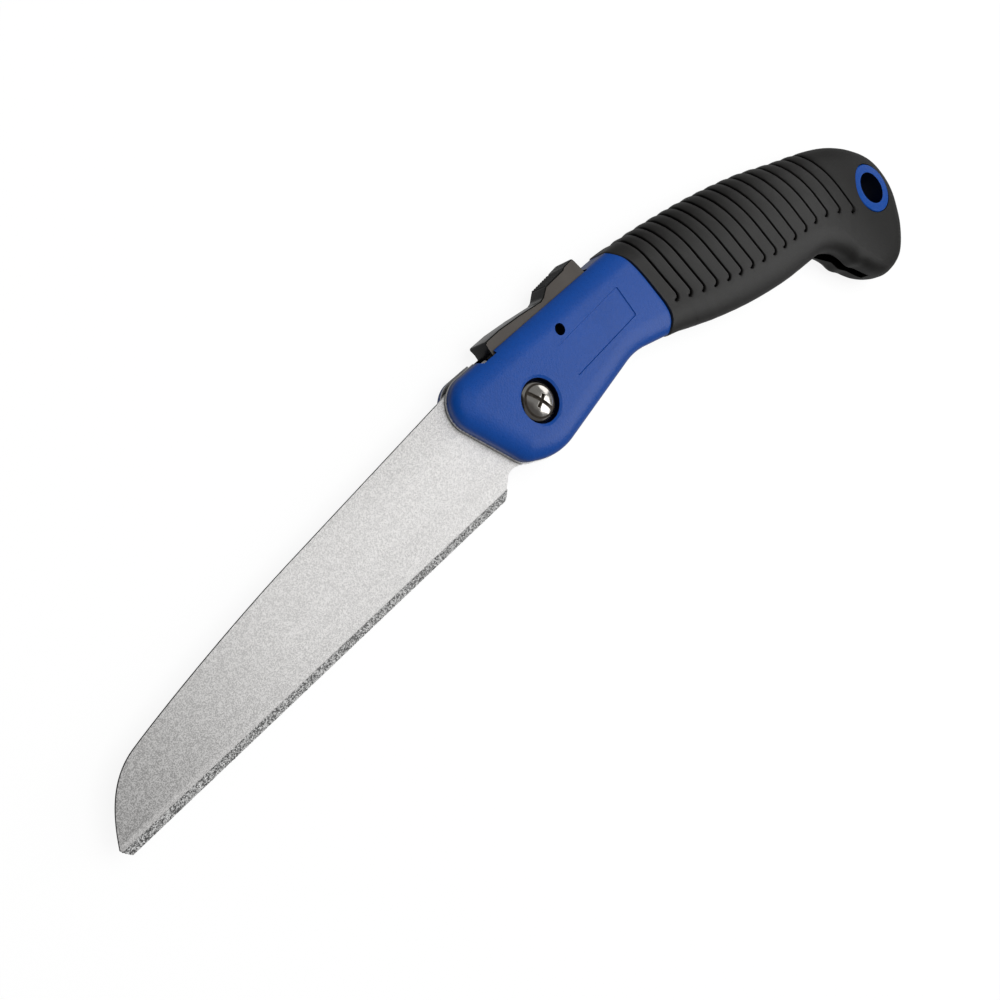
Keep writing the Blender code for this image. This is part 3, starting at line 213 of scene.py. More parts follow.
# Blade slot
SLOT_HALF = 0.0019
SLOT_FLOOR_GAP = 0.0015
SLOT_END_GAP = 0.0018
SLOT_OPEN_Y = -0.070
SLOT_OPEN_ANGLE = -21.0
GRIT_REACH = 0.0005

# Label recess, left bare
LABEL_AT = (0.0348, 0.0056)
LABEL_LENGTH = 0.0345
LABEL_WIDTH = 0.0116
LABEL_ANGLE = 5.1
LABEL_ROUND = 0.0006
LABEL_LIP = 0.00025

# Lock lever
LEVER_PIN_AT = (0.0216, 0.0140)
LEVER_PIN_RADIUS = 0.0019
LEVER_HALF = 0.0043
LEVER_BOSS_RADIUS = 0.0044
LEVER_BOSS_ANGLES = (70.0, -268.0)
LEVER_NOSE_X = -0.0044
LEVER_NOSE_Y = 0.0254
LEVER_NOSE_UNDER_Y = 0.0196
LEVER_NOSE_ROUND = 0.0008
LEVER_CREST = (0.0030, 0.0258)
LEVER_BACK = (0.0130, 0.0254)
LEVER_WAIST = (0.0235, 0.0246)
LEVER_RAMP_FOOT = (0.0252, 0.0251)
LEVER_PAD_FRONT = (0.0284, 0.0275)
LEVER_PAD_STEP = (0.0379, 0.0284)
LEVER_PAD_BUMP = (0.0388, 0.0290)
LEVER_PAD_REAR = (0.0438, 0.0296)
LEVER_REAR = (0.0455, 0.0238)
LEVER_REAR_ROUND = 0.0009
LEVER_REAR_UNDER_Y = 0.0222
LEVER_UNDER_REAR = (0.0311, 0.0210)
LEVER_UNDER_FRONT = (0.0252, 0.0194)
LEVER_FLARE_Y = 0.0228
LEVER_TOP_Y = 0.0233
# Half widths of the lever's top, each after its X
LEVER_WIDTHS = [
    (-0.0044, 0.0050),
    (0.0130, 0.0044),
    (0.0235, 0.0039),
    (0.0284, 0.0044),
    (0.0438, 0.0045),
]
RIDGE_SIDE_GAP = 0.0004
RIDGE_FRONT_GAP = 0.0006
RIDGE_REAR_GAP = 0.0007
RIDGE_SINK = 0.0001

# Bay of the lever, with the pawl and the spring
BAY_FLOOR_Y = 0.0183
BAY_CORNER_ANGLE = 45.0
BAY_CORNER_X = 0.0264
BAY_WEB_X = 0.0288
BAY_REAR_GAP = 0.0014
PAWL_HALF = 0.0010
PAWL_RING_RADIUS = 0.0034
PAWL_TOP_Y = 0.0226
PAWL_REAR_X = 0.0006
PAWL_SHOULDER_RISE = 0.0015
LEVER_NOSE_WALL = 0.0010
NOSE_ROOM_FRONT = -0.0106
NOSE_ROOM_HALF = 0.0057
NOSE_ROOM_FLOOR_Y = 0.0186
NOSE_ROOM_ROUND = 0.0018
NOSE_ROOM_LAP = 0.0012
SHADED_FROM_Y = 0.0170
SHADED_FLOOR_Y = 0.0195
SEAT_MOUTH = 0.0006
SPRING_X = 0.0380
SPRING_SEAT_DEPTH = 0.0006
SPRING_SEAT_TOP_Y = 0.0215
SPRING_SWING = 0.0013
SPRING_POCKET_TOP_Y = 0.0252

# Camera, fitted to the photograph: its place from the pivot and two directions
CAMERA_FROM_PIVOT = Vector((-0.20805, 0.06932, 0.30390))
CAMERA_FORWARD = Vector((0.49312, -0.23925, -0.83642))
CAMERA_UP = Vector((0.58081, 0.80633, 0.11178))
CAMERA_LENS = 41.4
SENSOR = 36.0

# Lights: the point that they face, from the pivot, and the directions that they come from
LIT_FROM_PIVOT = Vector((0.02, 0.0, 0.0))
SOFTBOX_WAY = (0.62, -0.42, 0.68)
OVERHEAD_WAY = (0.10, 0.05, 1.0)
KICKER_WAY = (0.93, 0.05, 0.36)
KICKER_DISTANCE = 0.9
KICKER_SIZE = 0.35
KICKER_RADIANCE = 1.1
FLAG_WAY = (-0.62, 0.42, 0.66)
FLAG_DISTANCE = 0.9
FLAG_HALF = 0.5
FLOOR_HALF = 3.0
FLOOR_GAP = 0.0002


# Settings

def length_property(name, description, default):
    """Length that a user may set."""
    return FloatProperty(name=name, description=description, default=default, unit="LENGTH", precision=5)


def level_property(name, description, default):
    """Strength of a light that a user may set."""
    return FloatProperty(name=name, description=description, default=default, min=0.0)


def colour_property(name, description, default):
    """Linear colour that a user may set."""
    return FloatVectorProperty(
        name=name, description=description, default=default, size=3, subtype="COLOR", min=0.0, max=1.0
    )


class SawHandleSettings(bpy.types.PropertyGroup):
    """Sizes and colours of the handle"""
    head_half: length_property("Head half thickness", "From the blade's middle to the near face", 0.0074)
    rim_width: length_property("Rim width", "How far the soft rim reaches in over the face", 0.0080)
    rim_depth: length_property("Rim depth", "How far the soft rim falls away", 0.0037)
    label_depth: length_property("Label recess depth", "Depth of the bare recess", 0.00035)
    plastic_colour: colour_property("Blue plastic", "Colour of the core", (0.0030, 0.060, 0.315))
    groove_depth: length_property("Groove depth", "Depth of the grooves between the ribs", 0.00095)
    groove_half_width: length_property("Groove half width", "Half the width of a groove", 0.00050)
    groove_hook: length_property("Groove hook", "Radius of the curl at a groove's lower end", 0.0018)
    scallop_depth: length_property("Scallop depth", "Depth of the waves over the spine", 0.00026)
    rubber_colour: colour_property("Black rubber", "Colour of the grip", (0.0072, 0.0068, 0.0062))


class SawBladeSettings(bpy.types.PropertyGroup):
    """Sizes and colours of the blade and its grit"""
    edge_round: length_property("Edge rounding", "Rounding of the blade's edges", 0.00012)
    ground_width: length_property("Ground band", "Width of the band that is ground beside the grit", 0.0017)
    steel_colour: colour_property("Blasted steel", "Colour of the blade", (0.74, 0.73, 0.72))
    band_width: length_property("Grit band", "Width of the grit on each side", 0.0020)
    grain_size: length_property("Grain size", "Radius of a large grain", 0.00022)
    grain_density: FloatProperty(
        name="Grain density", description="Grains on a square metre", default=6.0e6, min=0.0
    )
    grain_seed: IntProperty(name="Grain seed", description="Seed of the grains' places", default=7, min=0)


class SawPivotSettings(bpy.types.PropertyGroup):
    """Sizes and colour of the pivot"""
    head_radius: length_property("Head radius", "Radius of the screw's head", 0.0069)
    head_rim: length_property("Head rim", "Height of the head's rim", 0.0013)
    dome: length_property("Dome", "Rise of the screw's dome", 0.0018)
    slot_width: length_property("Slot width", "Width of the driver's slot", 0.0013)
    slot_depth: length_property("Slot depth", "Depth of the driver's slot", 0.0011)
    cross_length: length_property("Cross length", "Length of the cross recess", 0.0052)
    counterbore_radius: length_property("Counterbore", "Radius of the head's seat", 0.0075)
    counterbore_depth: length_property("Counterbore depth", "Depth of the head's seat", 0.0030)
    nickel_colour: colour_property("Bright nickel", "Colour of the screw", (0.80, 0.77, 0.72))


class SawLockSettings(bpy.types.PropertyGroup):
    """Sizes and colour of the lever and its spring"""
    ridges: IntProperty(name="Ridges", description="Ridges across the thumb pad", default=8, min=2)
    ridge_radius: length_property("Ridge radius", "Half the width of a ridge", 0.00052)
    rim_round: length_property("Rim rounding", "Rounding of the nose and of the top's edges", 0.00040)
    # Lighter than black plastic: the plastic's own colour with a painted reflection of the pale floor.
    lever_colour: colour_property("Black plastic", "Colour of the lever", (0.085, 0.082, 0.080))
    coil_turns: IntProperty(name="Coil turns", description="Turns of the lever's spring", default=5, min=2)
    coil_radius: length_property("Coil radius", "Radius of the spring's middle line", 0.0022)
    wire_radius: length_property("Wire radius", "Half the spring wire's thickness", 0.00035)


class SawStageSettings(bpy.types.PropertyGroup):
    """Lights and floor"""
    softbox_size: length_property("Softbox size", "Side of the square softbox that gloss sees", 0.60)
    softbox_distance: length_property("Softbox distance", "From the pivot to the softbox", 0.95)
    softbox_radiance: level_property("Softbox radiance", "Radiance of its face", 1.55)
    overhead_size: length_property("Overhead size", "Side of the square panel overhead", 0.90)
    overhead_distance: length_property("Overhead distance", "From the pivot to the panel overhead", 1.20)
    overhead_radiance: level_property("Overhead radiance", "Radiance of its face", 4.5)
    world_strength: level_property("World strength", "Light from all around", 0.12)
    world_gloss: level_property("World in gloss", "What gloss sees all around", 0.18)
    floor_colour: colour_property("Floor", "Colour of the pale floor", (0.80, 0.80, 0.80))


# Plan geometry

def polar(radius, angle, centre=(0.0, 0.0)):
    """Point at a radius and an angle from a centre."""
    turn = math.radians(angle)
    return (centre[0] + radius * math.cos(turn), centre[1] + radius * math.sin(turn))


def arc(centre, radius, start, end, steps):
    """Points along an arc, both ends included."""
    return [polar(radius, start + (end - start) * step / steps, centre) for step in range(steps + 1)]


def turned_by(point, angle):
    """Point turned about the pivot."""
    spun = Matrix.Rotation(math.radians(angle), 2) @ Vector(point)
    return (spun.x, spun.y)


def fillet(before, corner, after, radius, steps):
    """Arc that rounds one corner of an outline."""
    here = Vector(corner)
    back = (Vector(before) - here).normalized()
    ahead = (Vector(after) - here).normalized()
    half = back.angle(ahead) / 2
    reach = radius / math.tan(half)
    middle = here + (back + ahead).normalized() * (radius / math.sin(half))
    first = here + back * reach - middle
    last = here + ahead * reach - middle
    sweep = first.angle_signed(last)
    return [tuple(middle + Matrix.Rotation(-sweep * step / steps, 2) @ first) for step in range(steps + 1)]


def rounded(corners, steps):
    """Closed outline from corners given as X, Y and fillet radius."""
    points = []
    for index, (x, y, radius) in enumerate(corners):
        before = corners[index - 1]
        after = corners[(index + 1) % len(corners)]
        if radius > 0:
            points += fillet(before[:2], (x, y), after[:2], radius, steps)
        else:
            points.append((x, y))
    return points


def cubic(start, pull_start, pull_end, end, steps):
    """Points along a cubic Bezier curve, both ends included."""
    points = []
    for step in range(steps + 1):
        t = step / steps
        weights = ((1 - t) ** 3, 3 * t * (1 - t) ** 2, 3 * t * t * (1 - t), t ** 3)
        controls = (start, pull_start, pull_end, end)
        points.append(tuple(sum(w * c[axis] for w, c in zip(weights, controls)) for axis in (0, 1)))
    return points


def catmull(rows, place):
    """Catmull-Rom values of an array of rows at an array of fractional indices."""
    rows = np.asarray(rows, float)
    place = np.asarray(place, float)
    last = len(rows) - 1
    low = np.clip(place.astype(int), 0, last - 1)
    t = (place - low)[..., None]
    a, b, c, d = (rows[np.clip(low + shift, 0, last)] for shift in (-1, 0, 1, 2))
    square = 2 * a - 5 * b + 4 * c - d
    cube = 3 * b - a - 3 * c + d
    return 0.5 * (2 * b + (c - a) * t + square * t ** 2 + cube * t ** 3)


def line_y(start, end, x):
    """Height of the line through two points at X."""
    return start[1] + (end[1] - start[1]) * (x - start[0]) / (end[0] - start[0])


def grown(outline, amount):
    """Outline moved outwards by an amount, corner by corner."""
    area = sum(p[0] * q[1] - q[0] * p[1] for p, q in zip(outline, outline[1:] + outline[:1]))
    side = 1.0 if area > 0 else -1.0
    points = []
    for index, point in enumerate(outline):
        before = Vector(outline[index - 1])
        here = Vector(point)
        after = Vector(outline[(index + 1) % len(outline)])
        one = (here - before).normalized()
        two = (after - here).normalized()
        first = Vector((one.y, -one.x)) * side
        second = Vector((two.y, -two.x)) * side
        bisector = first + second
        if bisector.length < 1e-6:
            bisector = first
        bisector.normalize()
        points.append(tuple(here + bisector * amount / max(bisector.dot(first), 0.35)))
    return points


def smoothstep(value, low, high):
    """Smooth rise from 0 to 1 between two values."""
    t = np.clip((value - low) / (high - low), 0.0, 1.0)
    return t * t * (3 - 2 * t)


# Mesh helpers

def new_piece(name, mesh):
    """Object in the scene's own collection."""
    piece = bpy.data.objects.new(name, mesh)
    bpy.context.scene.collection.objects.link(piece)
    return piece


def piece_from_bmesh(name, shape):
    """Object from a bmesh, which is freed."""
    mesh = bpy.data.meshes.new(name)
    shape.to_mesh(mesh)
    shape.free()
    return new_piece(name, mesh)


def solid_mesh(piece):
    """Replaces a piece's data by its evaluated mesh and clears its modifiers."""
    bpy.context.view_layer.update()
    graph = bpy.context.evaluated_depsgraph_get()
    mesh = bpy.data.meshes.new_from_object(piece.evaluated_get(graph))
    mesh.transform(piece.matrix_world)
    name = piece.name
    if piece.type == "MESH":
        piece.modifiers.clear()
        piece.data = mesh
        piece.matrix_world = Matrix.Identity(4)
        return piece
    bpy.data.objects.remove(piece)
    return new_piece(name, mesh)


def plate(name, outline, low, high):
    """Flat plate cut to an outline: a filled 2D curve with a thickness, made a mesh."""
    curve = bpy.data.curves.new(name, "CURVE")
    curve.dimensions = "2D"
    curve.fill_mode = "BOTH"
    curve.extrude = (high - low) / 2
    spline = curve.splines.new("POLY")
    spline.points.add(len(outline) - 1)
    for point, (x, y) in zip(spline.points, outline):
        point.co = (x, y, 0.0, 1.0)
    spline.use_cyclic_u = True
    drawn = new_piece(name, curve)
    drawn.location.z = (low + high) / 2
    piece = solid_mesh(drawn)
    shape = bmesh.new()
    shape.from_mesh(piece.data)
    bmesh.ops.remove_doubles(shape, verts=shape.verts, dist=1e-6)
    bmesh.ops.recalc_face_normals(shape, faces=shape.faces)
    bmesh.ops.dissolve_limit(shape, angle_limit=math.radians(0.05), verts=[], edges=shape.edges)
    shape.to_mesh(piece.data)
    shape.free()
    return piece


def cylinder(name, centre, radius, low, high, sides, slope=(0.0, 0.0)):
    """Upright cylinder; a slope makes it thinner towards +X and +Y."""
    shape = bmesh.new()
    bmesh.ops.create_cone(
        shape, cap_ends=True, segments=sides, radius1=radius, radius2=radius, depth=high - low
    )
    for vertex in shape.verts:
        way = 1.0 if vertex.co.z > 0 else -1.0
        vertex.co.z += (low + high) / 2 - way * (slope[0] * vertex.co.x + slope[1] * vertex.co.y)
        vertex.co.x += centre[0]
        vertex.co.y += centre[1]
    return piece_from_bmesh(name, shape)


def stacked(name, loops):
    """Closed body from plan outlines stacked along Z, given as outline and height."""
    shape = bmesh.new()
    rings = [[shape.verts.new((x, y, height)) for x, y in outline] for outline, height in loops]
    for one, two in zip(rings, rings[1:]):
        for index in range(len(one)):
            after = (index + 1) % len(one)
            shape.faces.new((one[index], one[after], two[after], two[index]))
    shape.faces.new(rings[0])
    shape.faces.new(list(reversed(rings[-1])))
    bmesh.ops.recalc_face_normals(shape, faces=shape.faces)
    return piece_from_bmesh(name, shape)


def turned_piece(name, profile, sides, closed=False):
    """Solid of revolution about Z from a profile at +X, given from top to bottom."""
    shape = bmesh.new()
    corners = [shape.verts.new((radius, 0.0, height)) for radius, height in profile]
    for first, second in zip(corners, corners[1:] + corners[:1] * closed):
        shape.edges.new((first, second))
    piece = piece_from_bmesh(name, shape)
    screw = piece.modifiers.new("Turn", "SCREW")
    screw.steps = sides
    screw.render_steps = sides
    screw.use_merge_vertices = True
    screw.merge_threshold = 0.000001
    piece = solid_mesh(piece)
    recalculate(piece)
    return piece


def recalculate(piece):
    """Merges doubles and turns all faces outwards."""
    shape = bmesh.new()
    shape.from_mesh(piece.data)
    bmesh.ops.remove_doubles(shape, verts=shape.verts, dist=1e-7)
    bmesh.ops.recalc_face_normals(shape, faces=shape.faces)
    shape.to_mesh(piece.data)
    shape.free()


def combine(piece, cutters, operation="DIFFERENCE"):
    """Cuts, joins or intersects a piece with each cutter, which is then removed."""
    for cutter in cutters:
        step = piece.modifiers.new(cutter.name, "BOOLEAN")
        step.operation = operation
        step.solver = "MANIFOLD"
        step.object = cutter
    solid_mesh(piece)
    for cutter in cutters:
        bpy.data.objects.remove(cutter)
    return piece


def round_edges(piece, width, segments, angle, limit="ANGLE", material=-1, clamp=True):
    """Rounded edges, applied, with their own material slot if one is given."""
    bevel = piece.modifiers.new("Rounded edges", "BEVEL")
    bevel.width = width
    bevel.segments = segments
    bevel.limit_method = limit
    bevel.angle_limit = math.radians(angle)
    bevel.use_clamp_overlap = clamp
    bevel.material = material
    return solid_mesh(piece)


def weld(pieces):
    """Puts pieces into the first one's mesh, each with its own materials."""
    first = pieces[0]
    with bpy.context.temp_override(
        active_object=first, object=first, selected_objects=pieces, selected_editable_objects=pieces
    ):
        bpy.ops.object.join()
    return first


def finish_piece(piece, body, materials, angle, slot, *nodes):
    """Shades a piece, moves its mesh to the pivot and ties it to the frame."""
    piece.data.shade_smooth()
    piece.data.set_sharp_from_angle(angle=math.radians(angle))
    numbers = [face.material_index for face in piece.data.polygons]
    piece.data.materials.clear()
    for material in materials:
        piece.data.materials.append(material)
    for face, number in zip(piece.data.polygons, numbers):
        face.material_index = number if number < len(materials) else 0
    piece.data.transform(Matrix.Translation(PIVOT))
    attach(piece, body)
    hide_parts(*nodes)
    return piece


# Materials

class Nodes:
    """Node tree under construction, with short ways to add to it."""

    def __init__(self, tree):
        self.tree = tree

    def fill(self, node, inputs):
        """Feeds inputs of a node, each by a value or another node's socket, and gives its outputs."""
        for key, value in inputs.items():
            if isinstance(value, bpy.types.NodeSocket):
                self.tree.links.new(value, node.inputs[key])
            else:
                node.inputs[key].default_value = value
        return node.outputs

    def add(self, kind, inputs=(), **values):
        """Outputs of a new node, its properties set and its inputs fed."""
        node = self.tree.nodes.new(kind)
        for key, value in values.items():
            setattr(node, key, value)
        return self.fill(node, dict(inputs))

    def maths(self, operation, first, second=0.0, clamp=False):
        """Result of one sum."""
        return self.add("ShaderNodeMath", {0: first, 1: second}, operation=operation, use_clamp=clamp)[0]


class Finish(Nodes):
    """Material under construction, drawn by the place on the piece."""

    def __init__(self, name):
        self.material = bpy.data.materials.new(name)
        self.material.use_nodes = True
        super().__init__(self.material.node_tree)
        self.shader = self.tree.nodes["Principled BSDF"]
        self.place = self.add("ShaderNodeTexCoord")["Object"]

    def mapped(self, scale=(1.0, 1.0, 1.0), turn=0.0):
        """Place on the piece, scaled and turned about Z."""
        inputs = {"Scale": scale, "Rotation": (0.0, 0.0, turn), "Vector": self.place}
        return self.add("ShaderNodeMapping", inputs, vector_type="POINT")["Vector"]

    def noise(self, scale, detail, roughness=0.5, vector=None):
        """Soft noise."""
        place = self.place if vector is None else vector
        inputs = {"Scale": scale, "Detail": detail, "Roughness": roughness, "Vector": place}
        return self.add("ShaderNodeTexNoise", inputs)["Fac"]

    def cells(self, scale, feature):
        """Outputs of a pattern of cells."""
        return self.add("ShaderNodeTexVoronoi", {"Scale": scale, "Vector": self.place}, feature=feature)

    def axes(self, vector):
        """X, Y and Z of a vector."""
        return self.add("ShaderNodeSeparateXYZ", {0: vector})

    def stored(self, name):
        """Value that the mesh holds under a name."""
        return self.add("ShaderNodeAttribute", attribute_name=name)["Fac"]

    def fade(self, value, low, high, start=0.0, end=1.0):
        """Smooth change from start to end as a value goes from low to high."""
        inputs = {"Value": value, "From Min": low, "From Max": high, "To Min": start, "To Max": end}
        return self.add("ShaderNodeMapRange", inputs, interpolation_type="SMOOTHSTEP")["Result"]

    def mix(self, factor, first, second):
        """Mix of two colours."""
        inputs = {0: factor, 6: opaque(first), 7: opaque(second)}
        return self.add("ShaderNodeMix", inputs, data_type="RGBA")[2]

    def bump(self, height, distance, strength):
        """Gives the surface a bump."""
        inputs = {"Strength": strength, "Distance": distance, "Height": height}
        self.fill(self.shader, {"Normal": self.add("ShaderNodeBump", inputs)["Normal"]})

    def coat(self, colour, roughness, metallic=0.0, specular=0.5):
        """Sets the surface's colour, roughness, metallic share and specular level."""
        self.fill(self.shader, {
            "Base Color": opaque(colour), "Roughness": roughness, "Metallic": metallic,
            "Specular IOR Level": specular,
        })


def opaque(colour):
    """Three channels with an alpha of 1; a socket stays as it is."""
    return colour if isinstance(colour, bpy.types.NodeSocket) else (*colour, 1.0)


def shaded(colour, factor):
    """Colour times a factor."""
    return tuple(min(channel * factor, 1.0) for channel in colour)


def blue_plastic(name, colour, sheen):
    """Moulded plastic with a fine leathery texture."""
    finish = Finish(name)
    tone = finish.noise(60.0, 3.0)
    leather = finish.cells(1500.0, "SMOOTH_F1")["Distance"]
    fine = finish.noise(2600.0, 3.0, 0.6)
    speck = finish.fade(finish.noise(900.0, 2.0), 0.35, 0.65)
    base = finish.mix(tone, shaded(colour, 0.90), shaded(colour, 1.12))
    base = finish.mix(finish.maths("MULTIPLY", speck, 0.16), base, shaded(colour, 1.5))
    finish.coat(base, finish.fade(fine, 0.3, 0.7, 0.27, 0.38), specular=sheen)
    grain = finish.maths("ADD", finish.maths("MULTIPLY", leather, 0.7), finish.maths("MULTIPLY", fine, 0.5))
    finish.bump(grain, 0.00009, 0.6)
    return finish.material


def deep_blue():
    """Painted shade: near-black blue on the walls of holes and pockets, where the plastic takes no light.
    """
    finish = Finish("deep_blue")
    tone = finish.noise(500.0, 2.0)
    finish.coat(finish.mix(tone, (0.0005, 0.0020, 0.010), (0.0010, 0.0060, 0.034)), 0.5, specular=0.2)
    return finish.material


def black_rubber(colour):
    """Matt moulded rubber with faint dust, and painted shade: black in its grooves and with less sheen
    round the hook.
    """
    finish = Finish("black_rubber")
    tone = finish.noise(45.0, 3.0)
    fine = finish.noise(4200.0, 3.0, 0.6)
    dust = finish.fade(finish.noise(1300.0, 4.0, 0.7), 0.62, 0.80)
    base = finish.mix(tone, shaded(colour, 0.85), shaded(colour, 1.2))
    base = finish.mix(finish.maths("MULTIPLY", dust, 0.25), base, shaded(colour, 3.0))
    distance = finish.stored("groove_distance")
    # Painted shade: the grooves are coloured near black and lose most of their sheen.
    base = finish.mix(finish.fade(distance, 0.00025, 0.0006), (0.0008, 0.0008, 0.0008), base)
    # Painted shade: the sheen fades towards the hook, so that the butt reads darker.
    hook_shade = finish.fade(finish.axes(finish.place)["X"], PIVOT.x + 0.150, PIVOT.x + 0.190, 1.0, 0.38)
    sheen = finish.maths("MULTIPLY", finish.fade(distance, 0.0002, 0.0006, 0.05, 0.74), hook_shade)
    finish.coat(base, finish.fade(fine, 0.3, 0.7, 0.46, 0.58), specular=sheen)
    finish.bump(fine, 0.00003, 0.5)
    return finish.material


def blasted_steel(colour, ground_width, band_width):
    """Bead-blasted blade with painted shade that darkens it towards its tip, and a band ground beside the
    grit.
    """
    finish = Finish("blasted_steel")
    fine = finish.noise(3300.0, 1.0, 0.6)
    broad = finish.noise(900.0, 2.0)
    fine_share = finish.maths("MULTIPLY", fine, 0.80)
    speckle = finish.maths("ADD", fine_share, finish.maths("MULTIPLY", broad, 0.20))
    slant = math.atan2(HEEL[1] - TIP_UNDER[1], HEEL[0] - TIP_UNDER[0])
    level = finish.axes(finish.mapped(turn=-slant))
    heel = Matrix.Rotation(-slant, 3, "Z") @ (PIVOT + Vector((*HEEL, 0.0)))
    above = finish.maths("SUBTRACT", level["Y"], heel.y)
    wander = finish.maths("MULTIPLY", finish.noise(240.0, 2.0), 0.0005)
    height = finish.maths("ADD", above, finish.maths("SUBTRACT", wander, 0.00025))
    band_end = band_width + ground_width
    beyond = finish.fade(height, band_end - 0.0003, band_end + 0.0004)
    ground = finish.maths("SUBTRACT", 1.0, beyond)
    # Painted shade: the colour darkens towards the tip, standing in for the light that falls off along the
    # blade.
    along = finish.fade(level["X"], heel.x - 0.168, heel.x - 0.066)
    grain = finish.fade(speckle, 0.36, 0.64)
    dark = finish.mix(along, shaded(colour, 0.36), shaded(colour, 0.87))
    light = finish.mix(along, shaded(colour, 0.82), shaded(colour, 1.35))
    base = finish.mix(grain, dark, light)
    bright = finish.mix(grain, shaded(colour, 0.92), shaded(colour, 1.35))
    tone = finish.mix(finish.maths("MULTIPLY", ground, 0.5), base, bright)
    finish.coat(tone, finish.fade(fine, 0.3, 0.7, 0.40, 0.58), metallic=0.15)
    finish.bump(speckle, 0.00004, 0.7)
    return finish.material


def sheared_steel():
    """Cut edge of the blade with sheared streaks, coloured near black as painted shade for the dark that it
    reflects.
    """
    finish = Finish("sheared_steel")
    streak = finish.noise(900.0, 3.0, 0.6, finish.mapped(scale=(0.15, 0.15, 3.0)))
    finish.coat(finish.mix(streak, (0.010, 0.010, 0.011), (0.040, 0.040, 0.042)), 0.55, metallic=0.3)
    finish.bump(streak, 0.00004, 0.4)
    return finish.material


def abrasive_grit():
    """Carbide grains in their braze: dark gaps between grey and bright grains."""
    finish = Finish("abrasive_grit")
    shade = finish.stored("shade")
    split = finish.add("ShaderNodeSeparateColor", {0: finish.cells(2900.0, "F1")["Color"]})
    rough = finish.noise(5200.0, 2.0, 0.6)
    cell = finish.maths("MULTIPLY", split[0], 0.5)
    mottle = finish.maths("ADD", finish.maths("MULTIPLY", shade, 0.5), cell)
    grains = finish.mix(finish.fade(mottle, 0.10, 0.62), (0.11, 0.11, 0.11), (0.95, 0.95, 0.94))
    tone = finish.mix(finish.fade(rough, 0.50, 0.72, 0.0, 0.35), grains, (0.06, 0.06, 0.06))
    finish.coat(tone, finish.fade(rough, 0.3, 0.7, 0.35, 0.65), metallic=0.15)
    finish.bump(rough, 0.00005, 0.8)
    return finish.material


def brushed_steel(name, colour, roughness):
    """Steel with a fine brushed grain."""
    finish = Finish(name)
    grain = finish.noise(1600.0, 3.0, 0.6, finish.mapped(scale=(0.08, 1.0, 1.0)))
    tone = finish.mix(grain, shaded(colour, 0.85), shaded(colour, 1.1))
    finish.coat(tone, finish.fade(grain, 0.3, 0.7, roughness * 0.8, roughness * 1.3), metallic=1.0)
    finish.bump(grain, 0.00002, 0.3)
    return finish.material


def bright_nickel(colour):
    """Bright plated steel, a little uneven, with a dark brown painted reflection on its left side."""
    finish = Finish("bright_nickel")
    haze = finish.noise(420.0, 3.0)
    # Painted reflection: a dark brown patch on the left of the head, standing in for the dark that the dome
    # reflects there.
    slant = math.radians(-12.0)
    across = finish.axes(finish.mapped(turn=slant))["X"]
    middle = Matrix.Rotation(slant, 3, "Z") @ PIVOT
    wave = finish.maths("MULTIPLY", finish.noise(230.0, 2.0), 0.0026)
    side = finish.maths("ADD", across, wave)
    dark_reflection = finish.fade(side, middle.x - 0.0028, middle.x - 0.0012, 0.62, 0.0)
    tone = finish.mix(haze, shaded(colour, 0.92), shaded(colour, 1.06))
    tone = finish.mix(dark_reflection, tone, (0.055, 0.030, 0.024))
    finish.coat(tone, finish.fade(haze, 0.3, 0.7, 0.10, 0.20), metallic=1.0)
    finish.bump(haze, 0.00008, 0.5)
    return finish.material


def recess_nickel():
    """Floor of the driver's slot and cross, coloured dark as painted shade."""
    finish = Finish("recess_nickel")
    haze = finish.noise(900.0, 3.0)
    finish.coat(finish.mix(haze, (0.030, 0.024, 0.018), (0.10, 0.085, 0.07)), 0.5, metallic=0.6)
    return finish.material


def black_plastic(colour):
    """Hard glossy black plastic with a faint mould grain; its colour is lighter than black, partly painted
    reflection of the pale floor.
    """
    finish = Finish("black_plastic")
    tone = finish.noise(120.0, 2.0)
    fine = finish.noise(2400.0, 3.0, 0.6)
    base = finish.mix(tone, shaded(colour, 0.8), shaded(colour, 1.25))
    finish.coat(base, finish.fade(fine, 0.3, 0.7, 0.13, 0.22))
    finish.bump(fine, 0.00002, 0.25)
    return finish.material


def rim_plastic():
    """Polished rounded edges and nose of the lever, near black as painted shade, as they hold no light."""
    finish = Finish("rim_plastic")
    tone = finish.noise(300.0, 2.0)
    finish.coat(finish.mix(tone, (0.003, 0.003, 0.003), (0.008, 0.008, 0.008)), 0.22, specular=0.30)
    return finish.material


def side_plastic():
    """Matt sides of the lever, coloured greyer than its top as painted sheen."""
    finish = Finish("side_plastic")
    tone = finish.noise(160.0, 3.0)
    fine = finish.noise(2600.0, 3.0, 0.6)
    finish.coat(finish.mix(tone, (0.080, 0.070, 0.062), (0.104, 0.095, 0.086)), 0.62, specular=0.25)
    finish.bump(fine, 0.00003, 0.5)
    return finish.material


def pad_plastic():
    """Matt grained plastic of the thumb pad."""
    finish = Finish("pad_plastic")
    grain = finish.noise(2300.0, 2.0, 0.6)
    finish.coat(finish.mix(grain, (0.010, 0.010, 0.010), (0.034, 0.034, 0.034)), 0.50, specular=0.30)
    finish.bump(grain, 0.00008, 0.8)
    return finish.material


def washer_bronze():
    """Plain bronze sheet."""
    finish = Finish("washer_bronze")
    grain = finish.noise(700.0, 3.0)
    tone = finish.mix(grain, (0.46, 0.30, 0.13), (0.60, 0.42, 0.20))
    finish.coat(tone, finish.fade(grain, 0.3, 0.7, 0.28, 0.42), metallic=1.0)
    return finish.material


# Geometry Nodes

